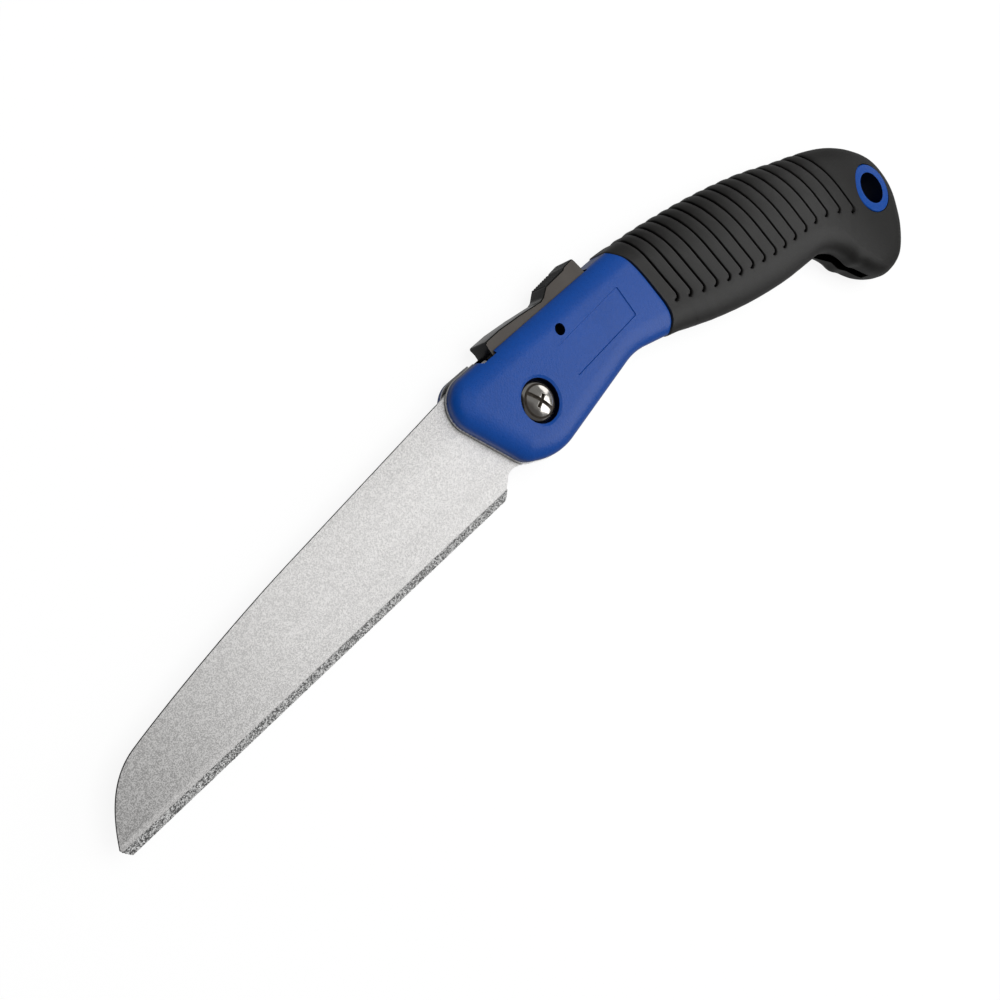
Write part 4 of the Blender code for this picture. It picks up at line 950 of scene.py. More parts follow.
class Growth(Nodes):
    """Geometry Nodes tree under construction, with named inputs."""

    def __init__(self, name, inputs):
        super().__init__(bpy.data.node_groups.new(name, "GeometryNodeTree"))
        self.keys = {}
        self.socket("Geometry", "INPUT", "Geometry")
        for label, kind, _ in inputs:
            self.keys[label] = self.socket(label, "INPUT", kind).identifier
        self.socket("Geometry", "OUTPUT", "Geometry")
        self.given = self.tree.nodes.new("NodeGroupInput").outputs
        self.values = {label: value for label, _, value in inputs}

    def socket(self, label, way, kind):
        """New socket of the tree itself."""
        return self.tree.interface.new_socket(name=label, in_out=way, socket_type="NodeSocket" + kind)

    def vector(self, operation, first, second):
        """Outputs of one vector sum; to scale takes a number as its second value."""
        key = "Scale" if operation == "SCALE" else 1
        return self.add("ShaderNodeVectorMath", {0: first, key: second}, operation=operation)

    def read(self, name):
        """Value that the mesh holds under a name."""
        return self.add("GeometryNodeInputNamedAttribute", {"Name": name}, data_type="FLOAT")[0]

    def random(self, low, high, seed, kind="FLOAT"):
        """Random value or vector between two ends."""
        number = 0 if kind == "FLOAT_VECTOR" else 1
        inputs = {2 * number: low, 2 * number + 1: high, "Seed": seed}
        return self.add("FunctionNodeRandomValue", inputs, data_type=kind)[number]

    def grow(self, piece, geometry):
        """Ends the tree, runs it on a piece and leaves a plain mesh."""
        painted = self.add("GeometryNodeSetMaterial", {
            "Geometry": geometry, "Material": self.given["Material"],
        })
        self.add("NodeGroupOutput", {0: painted[0]})
        step = piece.modifiers.new(self.tree.name, "NODES")
        step.node_group = self.tree
        for label, value in self.values.items():
            step[self.keys[label]] = value
        return solid_mesh(piece)


# Outlines

def blade_outline():
    """Outline of the blade and its tang, clockwise from the locking shoulder."""
    floor_radius = TANG_RADIUS - NOTCH_DEPTH
    shoulder_x = LEVER_NOSE_X - RUN_GAP
    shoulder_angle = math.degrees(math.acos(shoulder_x / floor_radius))
    fold_front = shoulder_angle - FOLD_ANGLE
    fold_rear = NOTCH_REAR_ANGLE - FOLD_ANGLE
    choil = turned_by(LEVER_PIN_AT, -FOLD_ANGLE)
    points = [(shoulder_x, TANG_TOP[1])]
    points += arc((0, 0), floor_radius, shoulder_angle, NOTCH_REAR_ANGLE, 6)
    points += arc((0, 0), TANG_RADIUS, NOTCH_REAR_ANGLE, fold_front, 60)
    points += arc((0, 0), floor_radius, fold_front, fold_rear, 6)
    points += arc((0, 0), TANG_STOP_RADIUS, fold_rear - STOP_GAP_ANGLE, STOP_END_ANGLE, 6)
    points += arc(choil, LEVER_BOSS_RADIUS + CHOIL_WALL, *CHOIL_ANGLES, 20)
    points += fillet(points[-1], HEEL, TIP_UNDER, HEEL_ROUND, 10)
    points.append(TIP_UNDER)
    points += cubic(TIP_FRONT, *TIP_PULLS, TIP_SHOULDER, 28)
    points += cubic(TIP_SHOULDER, *SPINE_PULLS, SPINE_BEND, 18)[1:]
    points += [SPINE_ROOT, TANG_TOP]
    return points


def edge_strip(width):
    """Strip along the cutting edge, its ends and its outside left long."""
    heel = Vector(HEEL)
    tip = Vector(TIP_UNDER)
    along = (tip - heel).normalized()
    inward = Vector((along.y, -along.x))
    past = 0.020
    corners = (
        heel - along * past + inward * width, tip + along * past + inward * width,
        tip + along * past - inward * past, heel - along * past - inward * past,
    )
    return [tuple(corner) for corner in corners]


def slot_floor(x):
    """Height of the blade slot's floor, above the folded cutting edge."""
    heel = turned_by(HEEL, FOLD_ANGLE)
    tip = turned_by(TIP_UNDER, FOLD_ANGLE)
    return line_y(heel, tip, x) + GRIT_REACH - FACET_GAP + SLOT_FLOOR_GAP


def grip_slot_outline():
    """The blade's room in the grip: open at the belly, ended by an arc about the pivot."""
    reach = math.hypot(*TIP_FRONT) + GRIT_REACH - FACET_GAP + SLOT_END_GAP
    end_x = reach
    for _ in range(20):
        end_x = math.sqrt(reach ** 2 - slot_floor(end_x) ** 2)
    end_angle = math.degrees(math.atan2(slot_floor(end_x), end_x))
    points = [(BAY_WEB_X, SLOT_OPEN_Y), (polar(reach, SLOT_OPEN_ANGLE)[0], SLOT_OPEN_Y)]
    points += arc((0, 0), reach, SLOT_OPEN_ANGLE, end_angle, 24)
    points.append((BAY_WEB_X, slot_floor(BAY_WEB_X)))
    return points


def head_slot_outline():
    """The wider room for blade, washers and liners between the head's cheeks."""
    rear = LINER_REAR_X + SEAT_GAP
    return [
        (-BEYOND, -BEYOND), (rear, -BEYOND), (rear, slot_floor(LINER_REAR_X)),
        (BAY_WEB_X, slot_floor(BAY_WEB_X)), (BAY_WEB_X, BEYOND), (-BEYOND, BEYOND),
    ]


def bay_outline(gap):
    """The lever's bay, open at the spine and round at the lever's boss."""
    floor_front = LEVER_NOSE_UNDER_Y - gap
    boss = LEVER_BOSS_RADIUS + gap
    start = 180.0 - math.degrees(math.asin(min((floor_front - LEVER_PIN_AT[1]) / boss, 0.98)))
    points = [(LEVER_NOSE_X - gap, BAY_OPEN_Y), (LEVER_NOSE_X - gap, floor_front)]
    points += arc(LEVER_PIN_AT, boss, start, 360.0 + BAY_CORNER_ANGLE, 36)
    rear = LEVER_REAR[0] + BAY_REAR_GAP
    points += [(BAY_CORNER_X, BAY_FLOOR_Y), (rear, BAY_FLOOR_Y), (rear, BAY_OPEN_Y)]
    return points


def nose_room():
    """Cutter for the rounded pocket round and ahead of the lever's nose."""
    half = NOSE_ROOM_HALF
    front = [(NOSE_ROOM_FRONT, way * half, NOSE_ROOM_ROUND) for way in (-1, 1)]
    rear = [(LEVER_NOSE_X + NOSE_ROOM_LAP, way * half, 0.0) for way in (-1, 1)]
    room = plate("nose_room", rounded([front[0], *rear, front[1]], 8), -BAY_OPEN_Y, -NOSE_ROOM_FLOOR_Y)
    room.data.transform(Matrix.Rotation(math.pi / 2, 4, "X"))
    return room


def head_outline(inset):
    """Outline of the head, moved in with its fillets kept concentric."""
    plan = grown([corner[:2] for corner in HEAD_CORNERS], -inset)
    corners = []
    for index, (_, _, radius) in enumerate(HEAD_CORNERS):
        here = Vector(plan[index])
        before = here - Vector(plan[index - 1])
        after = Vector(plan[(index + 1) % len(plan)]) - here
        hollow = before.cross(after) < 0
        if radius > 0:
            radius = radius + inset if hollow else max(radius - inset, HEAD_LEAST_ROUND)
        corners.append((here.x, here.y, radius))
    return rounded(corners, 22)


def head_end_x(y):
    """X of the boundary between head and rubber at a height."""
    rows = catmull(HEAD_END, np.linspace(0, len(HEAD_END) - 1, 81))
    return np.interp(-np.asarray(y), -rows[:, 1], rows[:, 0])


# Handle

def head_blank(settings):
    """Head before it is cut: outlines stacked from the far face to the near one."""
    steps = 18
    levels = []
    for step in range(steps + 1):
        turn = math.pi / 2 * step / steps
        height = settings.head_half - settings.rim_depth * (1 - math.sin(turn))
        levels.append((settings.rim_width * (1 - math.cos(turn)), height))
    levels.append((settings.rim_width + HEAD_FLAT_INSET, settings.head_half))
    stack = [(inset, -height) for inset, height in reversed(levels)] + levels
    return stacked("blue_core", [(head_outline(inset), height) for inset, height in stack])


def counterbore(way, settings, pivot):
    """Turned cutter for one end of the pivot, with a flared mouth."""
    radius = pivot.counterbore_radius
    flare = radius + COUNTERBORE_FLARE
    face = settings.head_half
    profile = [
        (0.0, THROUGH), (flare, THROUGH), (flare, face), (radius, face - COUNTERBORE_LIP),
        (radius, face - pivot.counterbore_depth), (0.0, face - pivot.counterbore_depth),
    ]
    piece = turned_piece("counterbore", profile, 96)
    if way < 0:
        piece.data.transform(Matrix.Rotation(math.pi, 4, "X"))
    return piece


def through_hole(name, centre, radius, sides):
    """Round cutter that goes right through the saw."""
    return cylinder(name, centre, radius, -THROUGH, THROUGH, sides)


def pivot_bore():
    """Cutter for the sleeve's bore."""
    return through_hole("bore", (0, 0), SLEEVE_RADIUS + FACET_GAP, 64)


def label_recess(settings):
    """Cutter for the label's shallow recess, with a lip that leans outwards."""
    turn = Matrix.Rotation(math.radians(LABEL_ANGLE), 2)
    corners = []
    for along, across in ((1, 1), (-1, 1), (-1, -1), (1, -1)):
        spot = turn @ Vector((along * LABEL_LENGTH / 2, across * LABEL_WIDTH / 2))
        corners.append((LABEL_AT[0] + spot.x, LABEL_AT[1] + spot.y, LABEL_ROUND))
    floor = rounded(corners, 6)
    mouth = grown(floor, LABEL_LIP)
    face = settings.head_half
    levels = [(floor, face - settings.label_depth), (mouth, face), (mouth, THROUGH)]
    return stacked("label_recess", levels)


def grip_columns():
    """Angles and shares that run round the near side from the spine to the belly."""
    full = math.pi / 2
    spine = np.linspace(0.0, full, GRIP_SPINE_STEPS + 1)
    flats = np.arange(1, GRIP_FLAT_STEPS + 1) / (GRIP_FLAT_STEPS + 1)
    belly = full * np.linspace(0.0, 1.0, GRIP_BELLY_STEPS + 1) ** 1.2
    theta = np.concatenate([spine, np.full(len(flats) + len(belly), full)])
    flat = np.concatenate([np.zeros(len(spine)), flats, np.ones(len(belly))])
    phi = np.concatenate([np.zeros(len(spine) + len(flats)), belly])
    return theta, flat, phi


def grip_points(place, theta, flat, phi, inset=0.0):
    """Points on the near side of the handle at places along it."""
    values = catmull(GRIP_STATIONS, place)
    top = values[..., 0:2]
    down = values[..., 2:4] - top
    length = np.linalg.norm(down, axis=-1)
    down = down / length[..., None]
    height = length - 2 * inset
    half = values[..., 4] - inset
    least = 0.0004
    spine_r = np.clip(values[..., 5] - inset, least, height * 0.48)
    belly_r = np.clip(values[..., 7] - inset, least, height * 0.48)
    spine_e = np.clip(values[..., 6] - inset, least, half - least / 2)
    belly_e = np.clip(values[..., 8] - inset, least, half - least / 2)
    across = inset + spine_r * (1 - np.cos(theta)) + belly_r * np.sin(phi)
    across = across + flat * (height - spine_r - belly_r)
    plan = top + down * across[..., None]
    z = half - spine_e * (1 - np.sin(theta)) - belly_e * (1 - np.cos(phi))
    return np.concatenate([plan, z[..., None]], axis=-1)


def along_ribs(points):
    """Distance along the handle that is the same all along one slanted groove."""
    return points[..., 0] + math.tan(GROOVE_SLANT) * points[..., 1]


def rib_axes():
    """Directions across and along the grooves' straight stretches, in plan."""
    right = np.array([math.cos(GROOVE_SLANT), math.sin(GROOVE_SLANT)])
    return right, np.array([-right[1], right[0]])


def groove_feet(hook):
    """Where each groove's straight stretch meets its curl."""
    right, up = rib_axes()
    return GROOVE_ENDS + hook * ((1 - math.cos(CURL_ANGLE)) * right + math.sin(CURL_ANGLE) * up)


def grip_rows(hook, half_width):
    """Places of the rings along the ribs: close together at each groove and its curl."""
    fine = np.arange(-hook - half_width, half_width * 1.5, 0.0002)
    coarse = np.array([-0.0030, 0.0014, 0.0021, 0.0029])
    offsets = np.sort(np.concatenate([fine, coarse]))
    return np.concatenate([line + offsets for line in along_ribs(groove_feet(hook))])


def loft_rings(name, rings):
    """Solid from rings of near-side points, mirrored to the far side."""
    shape = bmesh.new()
    loops = []
    for ring in rings:
        near = [shape.verts.new(point) for point in ring]
        far = [shape.verts.new((x, y, -z)) for x, y, z in ring[::-1]]
        loops.append(near + far)
    for one, two in zip(loops, loops[1:]):
        for index in range(len(one)):
            after = (index + 1) % len(one)
            shape.faces.new((one[index], one[after], two[after], two[index]))
    for loop in (loops[0], loops[-1]):
        size = len(loop)
        for index in range(size // 2 - 1):
            shape.faces.new((loop[index], loop[index + 1], loop[size - 2 - index], loop[size - 1 - index]))
    bmesh.ops.recalc_face_normals(shape, faces=shape.faces)
    return piece_from_bmesh(name, shape)


def grip_rings(settings):
    """Rings of the grip: along the head's end, straight across the ribs, then round the hook."""
    theta, flat, phi = grip_columns()
    last = len(GRIP_STATIONS) - 1
    samples = np.linspace(0.0, last, 1601)
    rows = grip_rows(settings.groove_hook, settings.groove_half_width)
    feet = groove_feet(settings.groove_hook)
    floor = np.interp(rows, along_ribs(feet), feet[:, 1]) - 2 * settings.groove_hook
    lead_shares = np.array([0.0, 0.02, 0.05, 0.11, 0.25, 0.45, 0.65, 0.85])
    columns = []
    held = None
    for angle, share, turn in zip(theta, flat, phi):
        track = grip_points(samples, angle, share, turn)
        start = samples[np.argmax(track[:, 0] > head_end_x(track[:, 1]) + SEAT_GAP)]
        along = along_ribs(track)
        top = np.argmax(along)
        ribbed = np.interp(rows, along[: top + 1], samples[: top + 1])
        if held is not None:
            below = grip_points(ribbed, angle, share, turn)[:, 1] < floor
            ribbed = np.where(below, held, ribbed)
        held = ribbed
        lead = start + (ribbed[0] - start) * lead_shares
        tail = ribbed[-1] + (last - ribbed[-1]) * np.linspace(0.0, 1.0, 61)[1:]
        columns.append(np.concatenate([lead, ribbed, tail]))
    places = np.array(columns).T
    rings = grip_points(places, theta, flat, phi)
    rolled = grip_points(places[:1], theta, flat, phi, 0.0005)
    rings[0] = rolled[0]
    rings[1] = 0.35 * grip_points(places[1:2], theta, flat, phi, 0.0005)[0] + 0.65 * rings[1]
    return rings


def groove_fields(points, hook):
    """Distance to the nearest groove and its curl, and the wave between the grooves."""
    feet = groove_feet(hook)
    lines = along_ribs(feet)
    numbers = np.arange(len(lines))
    along = along_ribs(points)
    index = np.interp(along, lines, numbers)
    index = np.where(along < lines[0], (along - lines[0]) / (lines[1] - lines[0]), index)
    index = np.where(along > lines[-1], numbers[-1] + (along - lines[-1]) / (lines[-1] - lines[-2]), index)
    nearest = np.clip(np.round(index), 0, numbers[-1]).astype(int)
    right, up = rib_axes()
    away = points[:, :2] - (feet[nearest] - hook * right)
    across, above = away @ right, away @ up
    angle = np.arctan2(above, across)
    curl_end = hook * np.array([math.cos(CURL_ANGLE), -math.sin(CURL_ANGLE)])
    past_end = np.hypot(across - curl_end[0], above - curl_end[1])
    curled = (angle > -CURL_ANGLE) & (angle <= 0.0)
    curl = np.where(curled, np.abs(np.hypot(across, above) - hook), past_end)
    distance = np.where(above > 0.0, np.abs(across - hook), curl)
    inside = (index > -0.5) & (index < numbers[-1] + 0.5)
    wave = np.where(inside, 0.5 + 0.5 * np.cos(2 * math.pi * index), 0.0)
    return distance, wave


def grip_body(settings, rubber):
    """Ribbed skin of the grip, its grooves and waves sunk by Geometry Nodes."""
    rings = grip_rings(settings)
    body = loft_rings("ribbed_grip", rings)
    theta, _, _ = grip_columns()
    points = np.zeros(len(body.data.vertices) * 3)
    body.data.vertices.foreach_get("co", points)
    points = points.reshape(-1, 3)
    distance, wave = groove_fields(points, settings.groove_hook)
    turn = np.tile(np.concatenate([theta, theta[::-1]]), len(rings))
    crisp = 0.40 + 0.60 * smoothstep(turn, math.radians(15), math.radians(55))
    distance = distance / (2.2 - 1.2 * smoothstep(turn, math.radians(15), math.radians(62)))
    scallop = wave * (0.10 + 0.90 * (1 - smoothstep(turn, math.radians(12), math.radians(80))))
    for name, values in (("groove_distance", distance), ("groove_crisp", crisp), ("scallop", scallop)):
        field = body.data.attributes.new(name, "FLOAT", "POINT")
        field.data.foreach_set("value", values.astype(np.float32))
    tree = Growth("Sunken grooves", [
        ("Groove depth", "Float", settings.groove_depth),
        ("Groove half width", "Float", settings.groove_half_width),
        ("Scallop depth", "Float", settings.scallop_depth),
        ("Material", "Material", rubber),
    ])
    given = tree.given
    share = tree.maths("DIVIDE", tree.read("groove_distance"), given["Groove half width"])
    bowl = tree.maths("SUBTRACT", 1.0, tree.maths("MULTIPLY", share, share), clamp=True)
    lip = tree.maths("EXPONENT", tree.maths("MULTIPLY", tree.maths("MULTIPLY", share, share), -0.16))
    sunk = tree.maths("ADD", bowl, tree.maths("MULTIPLY", lip, 0.12))
    sunk = tree.maths("MULTIPLY", sunk, given["Groove depth"])
    sunk = tree.maths("MULTIPLY", sunk, tree.read("groove_crisp"))
    sunk = tree.maths("ADD", sunk, tree.maths("MULTIPLY", tree.read("scallop"), given["Scallop depth"]))
    normal = tree.add("GeometryNodeInputNormal")[0]
    push = tree.vector("SCALE", normal, tree.maths("MULTIPLY", sunk, -1.0))["Vector"]
    moved = tree.add("GeometryNodeSetPosition", {"Geometry": given["Geometry"], "Offset": push})
    body = tree.grow(body, moved[0])
    for name in ("groove_crisp", "scallop"):
        body.data.attributes.remove(body.data.attributes[name])
    return body


def handle_tang(name, inset, slab):
    """Plain inner body of the handle, without the slab that the slot's lining fills."""
    theta = np.concatenate([np.linspace(0.0, math.pi / 2, 5), np.full(6, math.pi / 2)])
    flat = np.concatenate([np.zeros(5), [0.5], np.ones(5)])
    phi = np.concatenate([np.zeros(6), np.linspace(0.0, math.pi / 2, 5)])
    places = np.linspace(0.0, len(GRIP_STATIONS) - 1.7, 34)[:, None] * np.ones(len(theta))
    tang = loft_rings(name, grip_points(places, theta, flat, phi, inset))
    lining = plate("lining", grown(grip_slot_outline(), slab - SLOT_HALF), -slab, slab)
    return combine(tang, [lining])


def slab_behind():
    """Plate behind the boundary between head and rubber."""
    high, low, rear = 0.034, -0.030, 0.110
    line = [(float(head_end_x(y)), float(y)) for y in np.linspace(high, low, 65)]
    return plate("boundary", line + [(rear, low), (rear, high)], -THROUGH, THROUGH)


class SAW_OT_blue_core(bpy.types.Operator):
    """Makes the blue plastic core with its cheeks, counterbores, recess and hanging eyelet"""
    bl_idname = "saw.blue_core"
    bl_label = "Blue core"

    def execute(self, context):
        settings = context.scene.saw_handle
        pivot = context.scene.saw_pivot
        core = head_blank(settings)
        combine(core, [slab_behind()])
        tang = handle_tang("tang", RUBBER_WALL + SEAT_GAP, SLOT_HALF + SLOT_LINING + SEAT_GAP)
        combine(core, [tang], "UNION")
        boss = cylinder("boss", EYELET_AT, EYELET_RADIUS, -EYELET_HALF, EYELET_HALF, 96, EYELET_SLOPE)
        combine(core, [round_edges(boss, EYELET_ROUND, 4, 50.0)], "UNION")
        hole = through_hole("hole", EYELET_AT, EYELET_HOLE_RADIUS, 96)
        slot = plate("slot", grip_slot_outline(), -SLOT_HALF, SLOT_HALF)
        head_slot = plate("head_slot", head_slot_outline(), -CHEEK_LOW, CHEEK_LOW)
        bay_half = LEVER_HALF + RUN_GAP
        bay = plate("bay", bay_outline(BAY_GAP), -bay_half, bay_half)
        pin = through_hole("pin", LEVER_PIN_AT, LEVER_PIN_RADIUS + FACET_GAP, 48)
        combine(core, [
            hole, slot, head_slot, bay, nose_room(), pivot_bore(), counterbore(1, settings, pivot),
            counterbore(-1, settings, pivot), pin, spring_seat(context.scene.saw_lock),
            label_recess(settings),
        ])
        # Faces in the holes, the seats, the bay and the channel take the painted shade.
        for face in core.data.polygons:
            face.material_index = core_slot(core, face, settings, pivot)
        plastic = blue_plastic("blue_plastic", tuple(settings.plastic_colour), 0.5)
        ring = blue_plastic("ring_plastic", tuple(settings.plastic_colour), 0.15)
        finish_piece(core, "handle", [plastic, deep_blue(), ring], 14.0, "blue_plastic", "handle_core")
        return {"FINISHED"}


def core_slot(core, face, settings, pivot):
    """Material slot of a face of the core: 1, in painted shade, in holes, bay and channel, 2 on the
    eyelet's ring.
    """
    x, y, z = face.center
    near = 0.0001
    upright = abs(face.normal.z) < 0.5
    from_eyelet = math.hypot(x - EYELET_AT[0], y - EYELET_AT[1])
    from_pin = math.hypot(x - LEVER_PIN_AT[0], y - LEVER_PIN_AT[1])
    half = max(abs(core.data.vertices[index].co.z) for index in face.vertices)
    hole = upright and (from_eyelet < EYELET_HOLE_RADIUS + near or from_pin < LEVER_PIN_RADIUS + 3 * near)
    seat = math.hypot(x, y) < pivot.counterbore_radius + near and abs(z) < settings.head_half - SEAT_MOUTH
    inward = face.normal.z * math.copysign(1.0, z) < -0.5
    end_wall = abs(face.normal.z) < 0.2 and face.normal.y < 0.8
    room = NOSE_ROOM_FRONT - near < x < LEVER_REAR[0] + BAY_REAR_GAP + near and y > SHADED_FROM_Y
    bay = room and half < NOSE_ROOM_HALF + near and (inward or end_wall or y < SHADED_FLOOR_Y)
    if hole or seat or bay or half < CHEEK_LOW + 0.00001:
        return 1
    return 2 if from_eyelet < EYELET_RADIUS + 0.0005 else 0


def spring_room(lock):
    """Radius of the room that the spring turns in."""
    return lock.coil_radius + lock.wire_radius + RUN_GAP


def spring_seat(lock):
    """Cutter for the spring's round pocket in the floor of the bay."""
    low, high = BAY_FLOOR_Y - SPRING_SEAT_DEPTH, SPRING_SEAT_TOP_Y
    seat = cylinder("seat", (0, 0), spring_room(lock), low, high, 40)
    seat.data.transform(Matrix.Rotation(-math.pi / 2, 4, "X"))
    seat.data.transform(Matrix.Translation((SPRING_X, 0.0, 0.0)))
    return seat


class SAW_OT_ribbed_grip(bpy.types.Operator):
    """Makes the rubber grip with its grooves, its slot for the blade and its pinky hook"""
    bl_idname = "saw.ribbed_grip"
    bl_label = "Ribbed grip"

    def execute(self, context):
        settings = context.scene.saw_handle
        rubber = black_rubber(tuple(settings.rubber_colour))
        grip = grip_body(settings, rubber)
        window = through_hole("window", EYELET_AT, EYELET_RADIUS + SEAT_GAP, 96)
        slot = plate("slot", grip_slot_outline(), -SLOT_HALF, SLOT_HALF)
        combine(grip, [handle_tang("pocket", RUBBER_WALL, SLOT_HALF + SLOT_LINING), window, slot])
        finish_piece(grip, "handle", [rubber], 38.0, "black_rubber", "rubber_grip")
        return {"FINISHED"}


# Blade

class SAW_OT_blade(bpy.types.Operator):
    """Makes the flat blade with its tang, its choil and its rounded edges"""
    bl_idname = "saw.blade"
    bl_label = "Blade"

    def execute(self, context):
        settings = context.scene.saw_blade
        blade = plate("saw_blade", blade_outline(), -BLADE_HALF, BLADE_HALF)
        combine(blade, [pivot_bore()])
        round_edges(blade, settings.edge_round, 2, 60.0)
        steel = blasted_steel(tuple(settings.steel_colour), settings.ground_width, settings.band_width)
        # The blade's edge faces, but for the tang's root, take the painted shade of the cut edge.
        for face in blade.data.polygons:
            at_root = TANG_TOP[0] - ROOT_LENGTH < face.center.x < NOSE_ROOM_FRONT and face.center.y > 0
            face.material_index = 1 if abs(face.normal.z) < 0.9 and not at_root else 0
        finish_piece(blade, "blade_body", [steel, sheared_steel()], 30.0, "satin_steel", "blade")
        return {"FINISHED"}


def grit_band(name, width, reach):
    """Channel round the cutting edge that carries the grains."""
    outline = blade_outline()
    half = BLADE_HALF + reach
    band = plate(name, grown(outline, reach), -half, half)
    combine(band, [plate("strip", edge_strip(width), -THROUGH, THROUGH)], "INTERSECT")
    gap = 0.00004
    half = BLADE_HALF + gap
    return combine(band, [plate("inside", grown(outline, gap), -half, half)])


class SAW_OT_abrasive_edge(bpy.types.Operator):
    """Brazes carbide grains round the cutting edge"""
    bl_idname = "saw.abrasive_edge"
    bl_label = "Abrasive edge"

    def execute(self, context):
        settings = context.scene.saw_blade
        band = grit_band("grit_edge", settings.band_width + GRIT_LAP, GRIT_BED)
        inward = Vector((TIP_UNDER[1] - HEEL[1], HEEL[0] - TIP_UNDER[0])).normalized()
        if inward.y < 0:
            inward.negate()
        grit = abrasive_grit()
        tree = Growth("Brazed grains", [
            ("Grain density", "Float", settings.grain_density),
            ("Grain radius", "Float", settings.grain_size),
            ("Band width", "Float", settings.band_width),
            ("Edge point", "Vector", (*HEEL, 0.0)),
            ("Inward", "Vector", (*inward, 0.0)),
            ("Seed", "Int", settings.grain_seed),
            ("Material", "Material", grit),
        ])
        given = tree.given
        place = tree.add("GeometryNodeInputPosition")[0]
        from_edge = tree.vector("SUBTRACT", place, given["Edge point"])["Vector"]
        height = tree.vector("DOT_PRODUCT", from_edge, given["Inward"])["Value"]
        left = tree.maths("SUBTRACT", given["Band width"], height)
        thinning = tree.maths("ADD", tree.maths("DIVIDE", left, 0.0006), 0.35, clamp=True)
        spread = tree.add("GeometryNodeDistributePointsOnFaces", {
            "Mesh": given["Geometry"], "Seed": given["Seed"],
            "Density": tree.maths("MULTIPLY", given["Grain density"], thinning),
        }, distribute_method="RANDOM")
        depth = tree.maths("MULTIPLY", given["Grain radius"], -0.45)
        sunk = tree.add("GeometryNodeSetPosition", {
            "Geometry": spread["Points"], "Offset": tree.vector("SCALE", spread["Normal"], depth)["Vector"],
        })
        grain = tree.add("GeometryNodeMeshIcoSphere", {"Radius": given["Grain radius"], "Subdivisions": 1})
        placed = tree.add("GeometryNodeInstanceOnPoints", {
            "Points": sunk[0], "Instance": grain["Mesh"],
            "Rotation": tree.random((0.0, 0.0, 0.0), (6.3, 6.3, 6.3), 3, "FLOAT_VECTOR"),
            "Scale": tree.random((0.45, 0.45, 0.45), (1.0, 1.0, 1.0), 5, "FLOAT_VECTOR"),
        })
        marked = tree.add("GeometryNodeStoreNamedAttribute", {
            "Geometry": placed[0], "Name": "shade", "Value": tree.random(0.0, 1.0, 11),
        }, data_type="FLOAT", domain="INSTANCE")
        real = tree.add("GeometryNodeRealizeInstances", {"Geometry": marked[0]})
        joined = tree.tree.nodes.new("GeometryNodeJoinGeometry")
        for part in (real[0], given["Geometry"]):
            tree.fill(joined, {0: part})
        band = tree.grow(band, joined.outputs[0])
        finish_piece(band, "blade_body", [grit], 25.0, "abrasive_grit", "abrasive_edge")
        return {"FINISHED"}


# Liners

class SAW_OT_liners(bpy.types.Operator):
    """Makes the two liner plates, whose bright edges line the cheeks"""
    bl_idname = "saw.liners"
    bl_label = "Liners"

    def execute(self, context):
        steel = brushed_steel("liner_steel", (0.80, 0.80, 0.81), 0.28)
        # Painted shade: the near liner's underside is coloured near black, so that the crevice over the
        # blade reads dark.
        crevice_shade = brushed_steel("stained_steel", (0.02, 0.02, 0.02), 0.6)
        left, right = LEVER_NOSE_X - RUN_GAP, PAWL_REAR_X + RUN_GAP
        low = TANG_RADIUS - RUN_GAP
        pawl_room = [(left, BAY_OPEN_Y), (left, low), (right, low), (right, BAY_OPEN_Y)]
        web = BAY_WEB_X - RUN_GAP
        behind = [
            (LINER_REAR_X, -BEYOND), (2 * BEYOND, -BEYOND), (2 * BEYOND, BEYOND), (web, BEYOND),
            (web, slot_floor(BAY_WEB_X) - SEAT_GAP), (LINER_REAR_X, slot_floor(LINER_REAR_X) - SEAT_GAP),
        ]
        for name, low, high in (
            ("liner_near", LINER_LOW, LINER_HIGH), ("liner_far", -LINER_HIGH, -LINER_LOW),
        ):
            piece = plate(name + "_plate", head_outline(-LINER_PROUD), low, high)
            round_edges(piece, LINER_ROUND, 2, 40.0)
            combine(piece, [
                plate("bay", bay_outline(LINER_BAY_GAP), -THROUGH, THROUGH), nose_room(),
                plate("pawl_room", pawl_room, -THROUGH, THROUGH),
                plate("behind", behind, -THROUGH, THROUGH), pivot_bore(),
            ])
            # The near liner's underside takes the painted shade.
            for face in piece.data.polygons:
                face.material_index = 1 if face.normal.z < -0.5 and low > 0 else 0
            finish_piece(piece, "handle", [steel, crevice_shade], 30.0, "liner_steel", name)
        return {"FINISHED"}


# Pivot

def dome_profile(radius, rim, rise, steps):
    """Profile of a domed head from its crown to the top of its rim."""
    curve_radius = (radius ** 2 + rise ** 2) / (2 * rise)
    reach = math.asin(radius / curve_radius)
    centre = rim + rise - curve_radius
    points = []
    for step in range(steps + 1):
        turn = reach * step / steps
        points.append((curve_radius * math.sin(turn), centre + curve_radius * math.cos(turn)))
    points[0] = (0.0, rim + rise)
    return points


def bar(name, length, width, angle, z):
    """Straight bar across the pivot's axis, its middle at Z."""
    shape = bmesh.new()
    bmesh.ops.create_cube(shape, size=1.0)
    bmesh.ops.scale(shape, vec=(length, width, BAR_HEIGHT), verts=shape.verts)
    bmesh.ops.rotate(shape, matrix=Matrix.Rotation(math.radians(angle), 3, "Z"), verts=shape.verts)
    bmesh.ops.translate(shape, vec=(0, 0, z), verts=shape.verts)
    return piece_from_bmesh(name, shape)


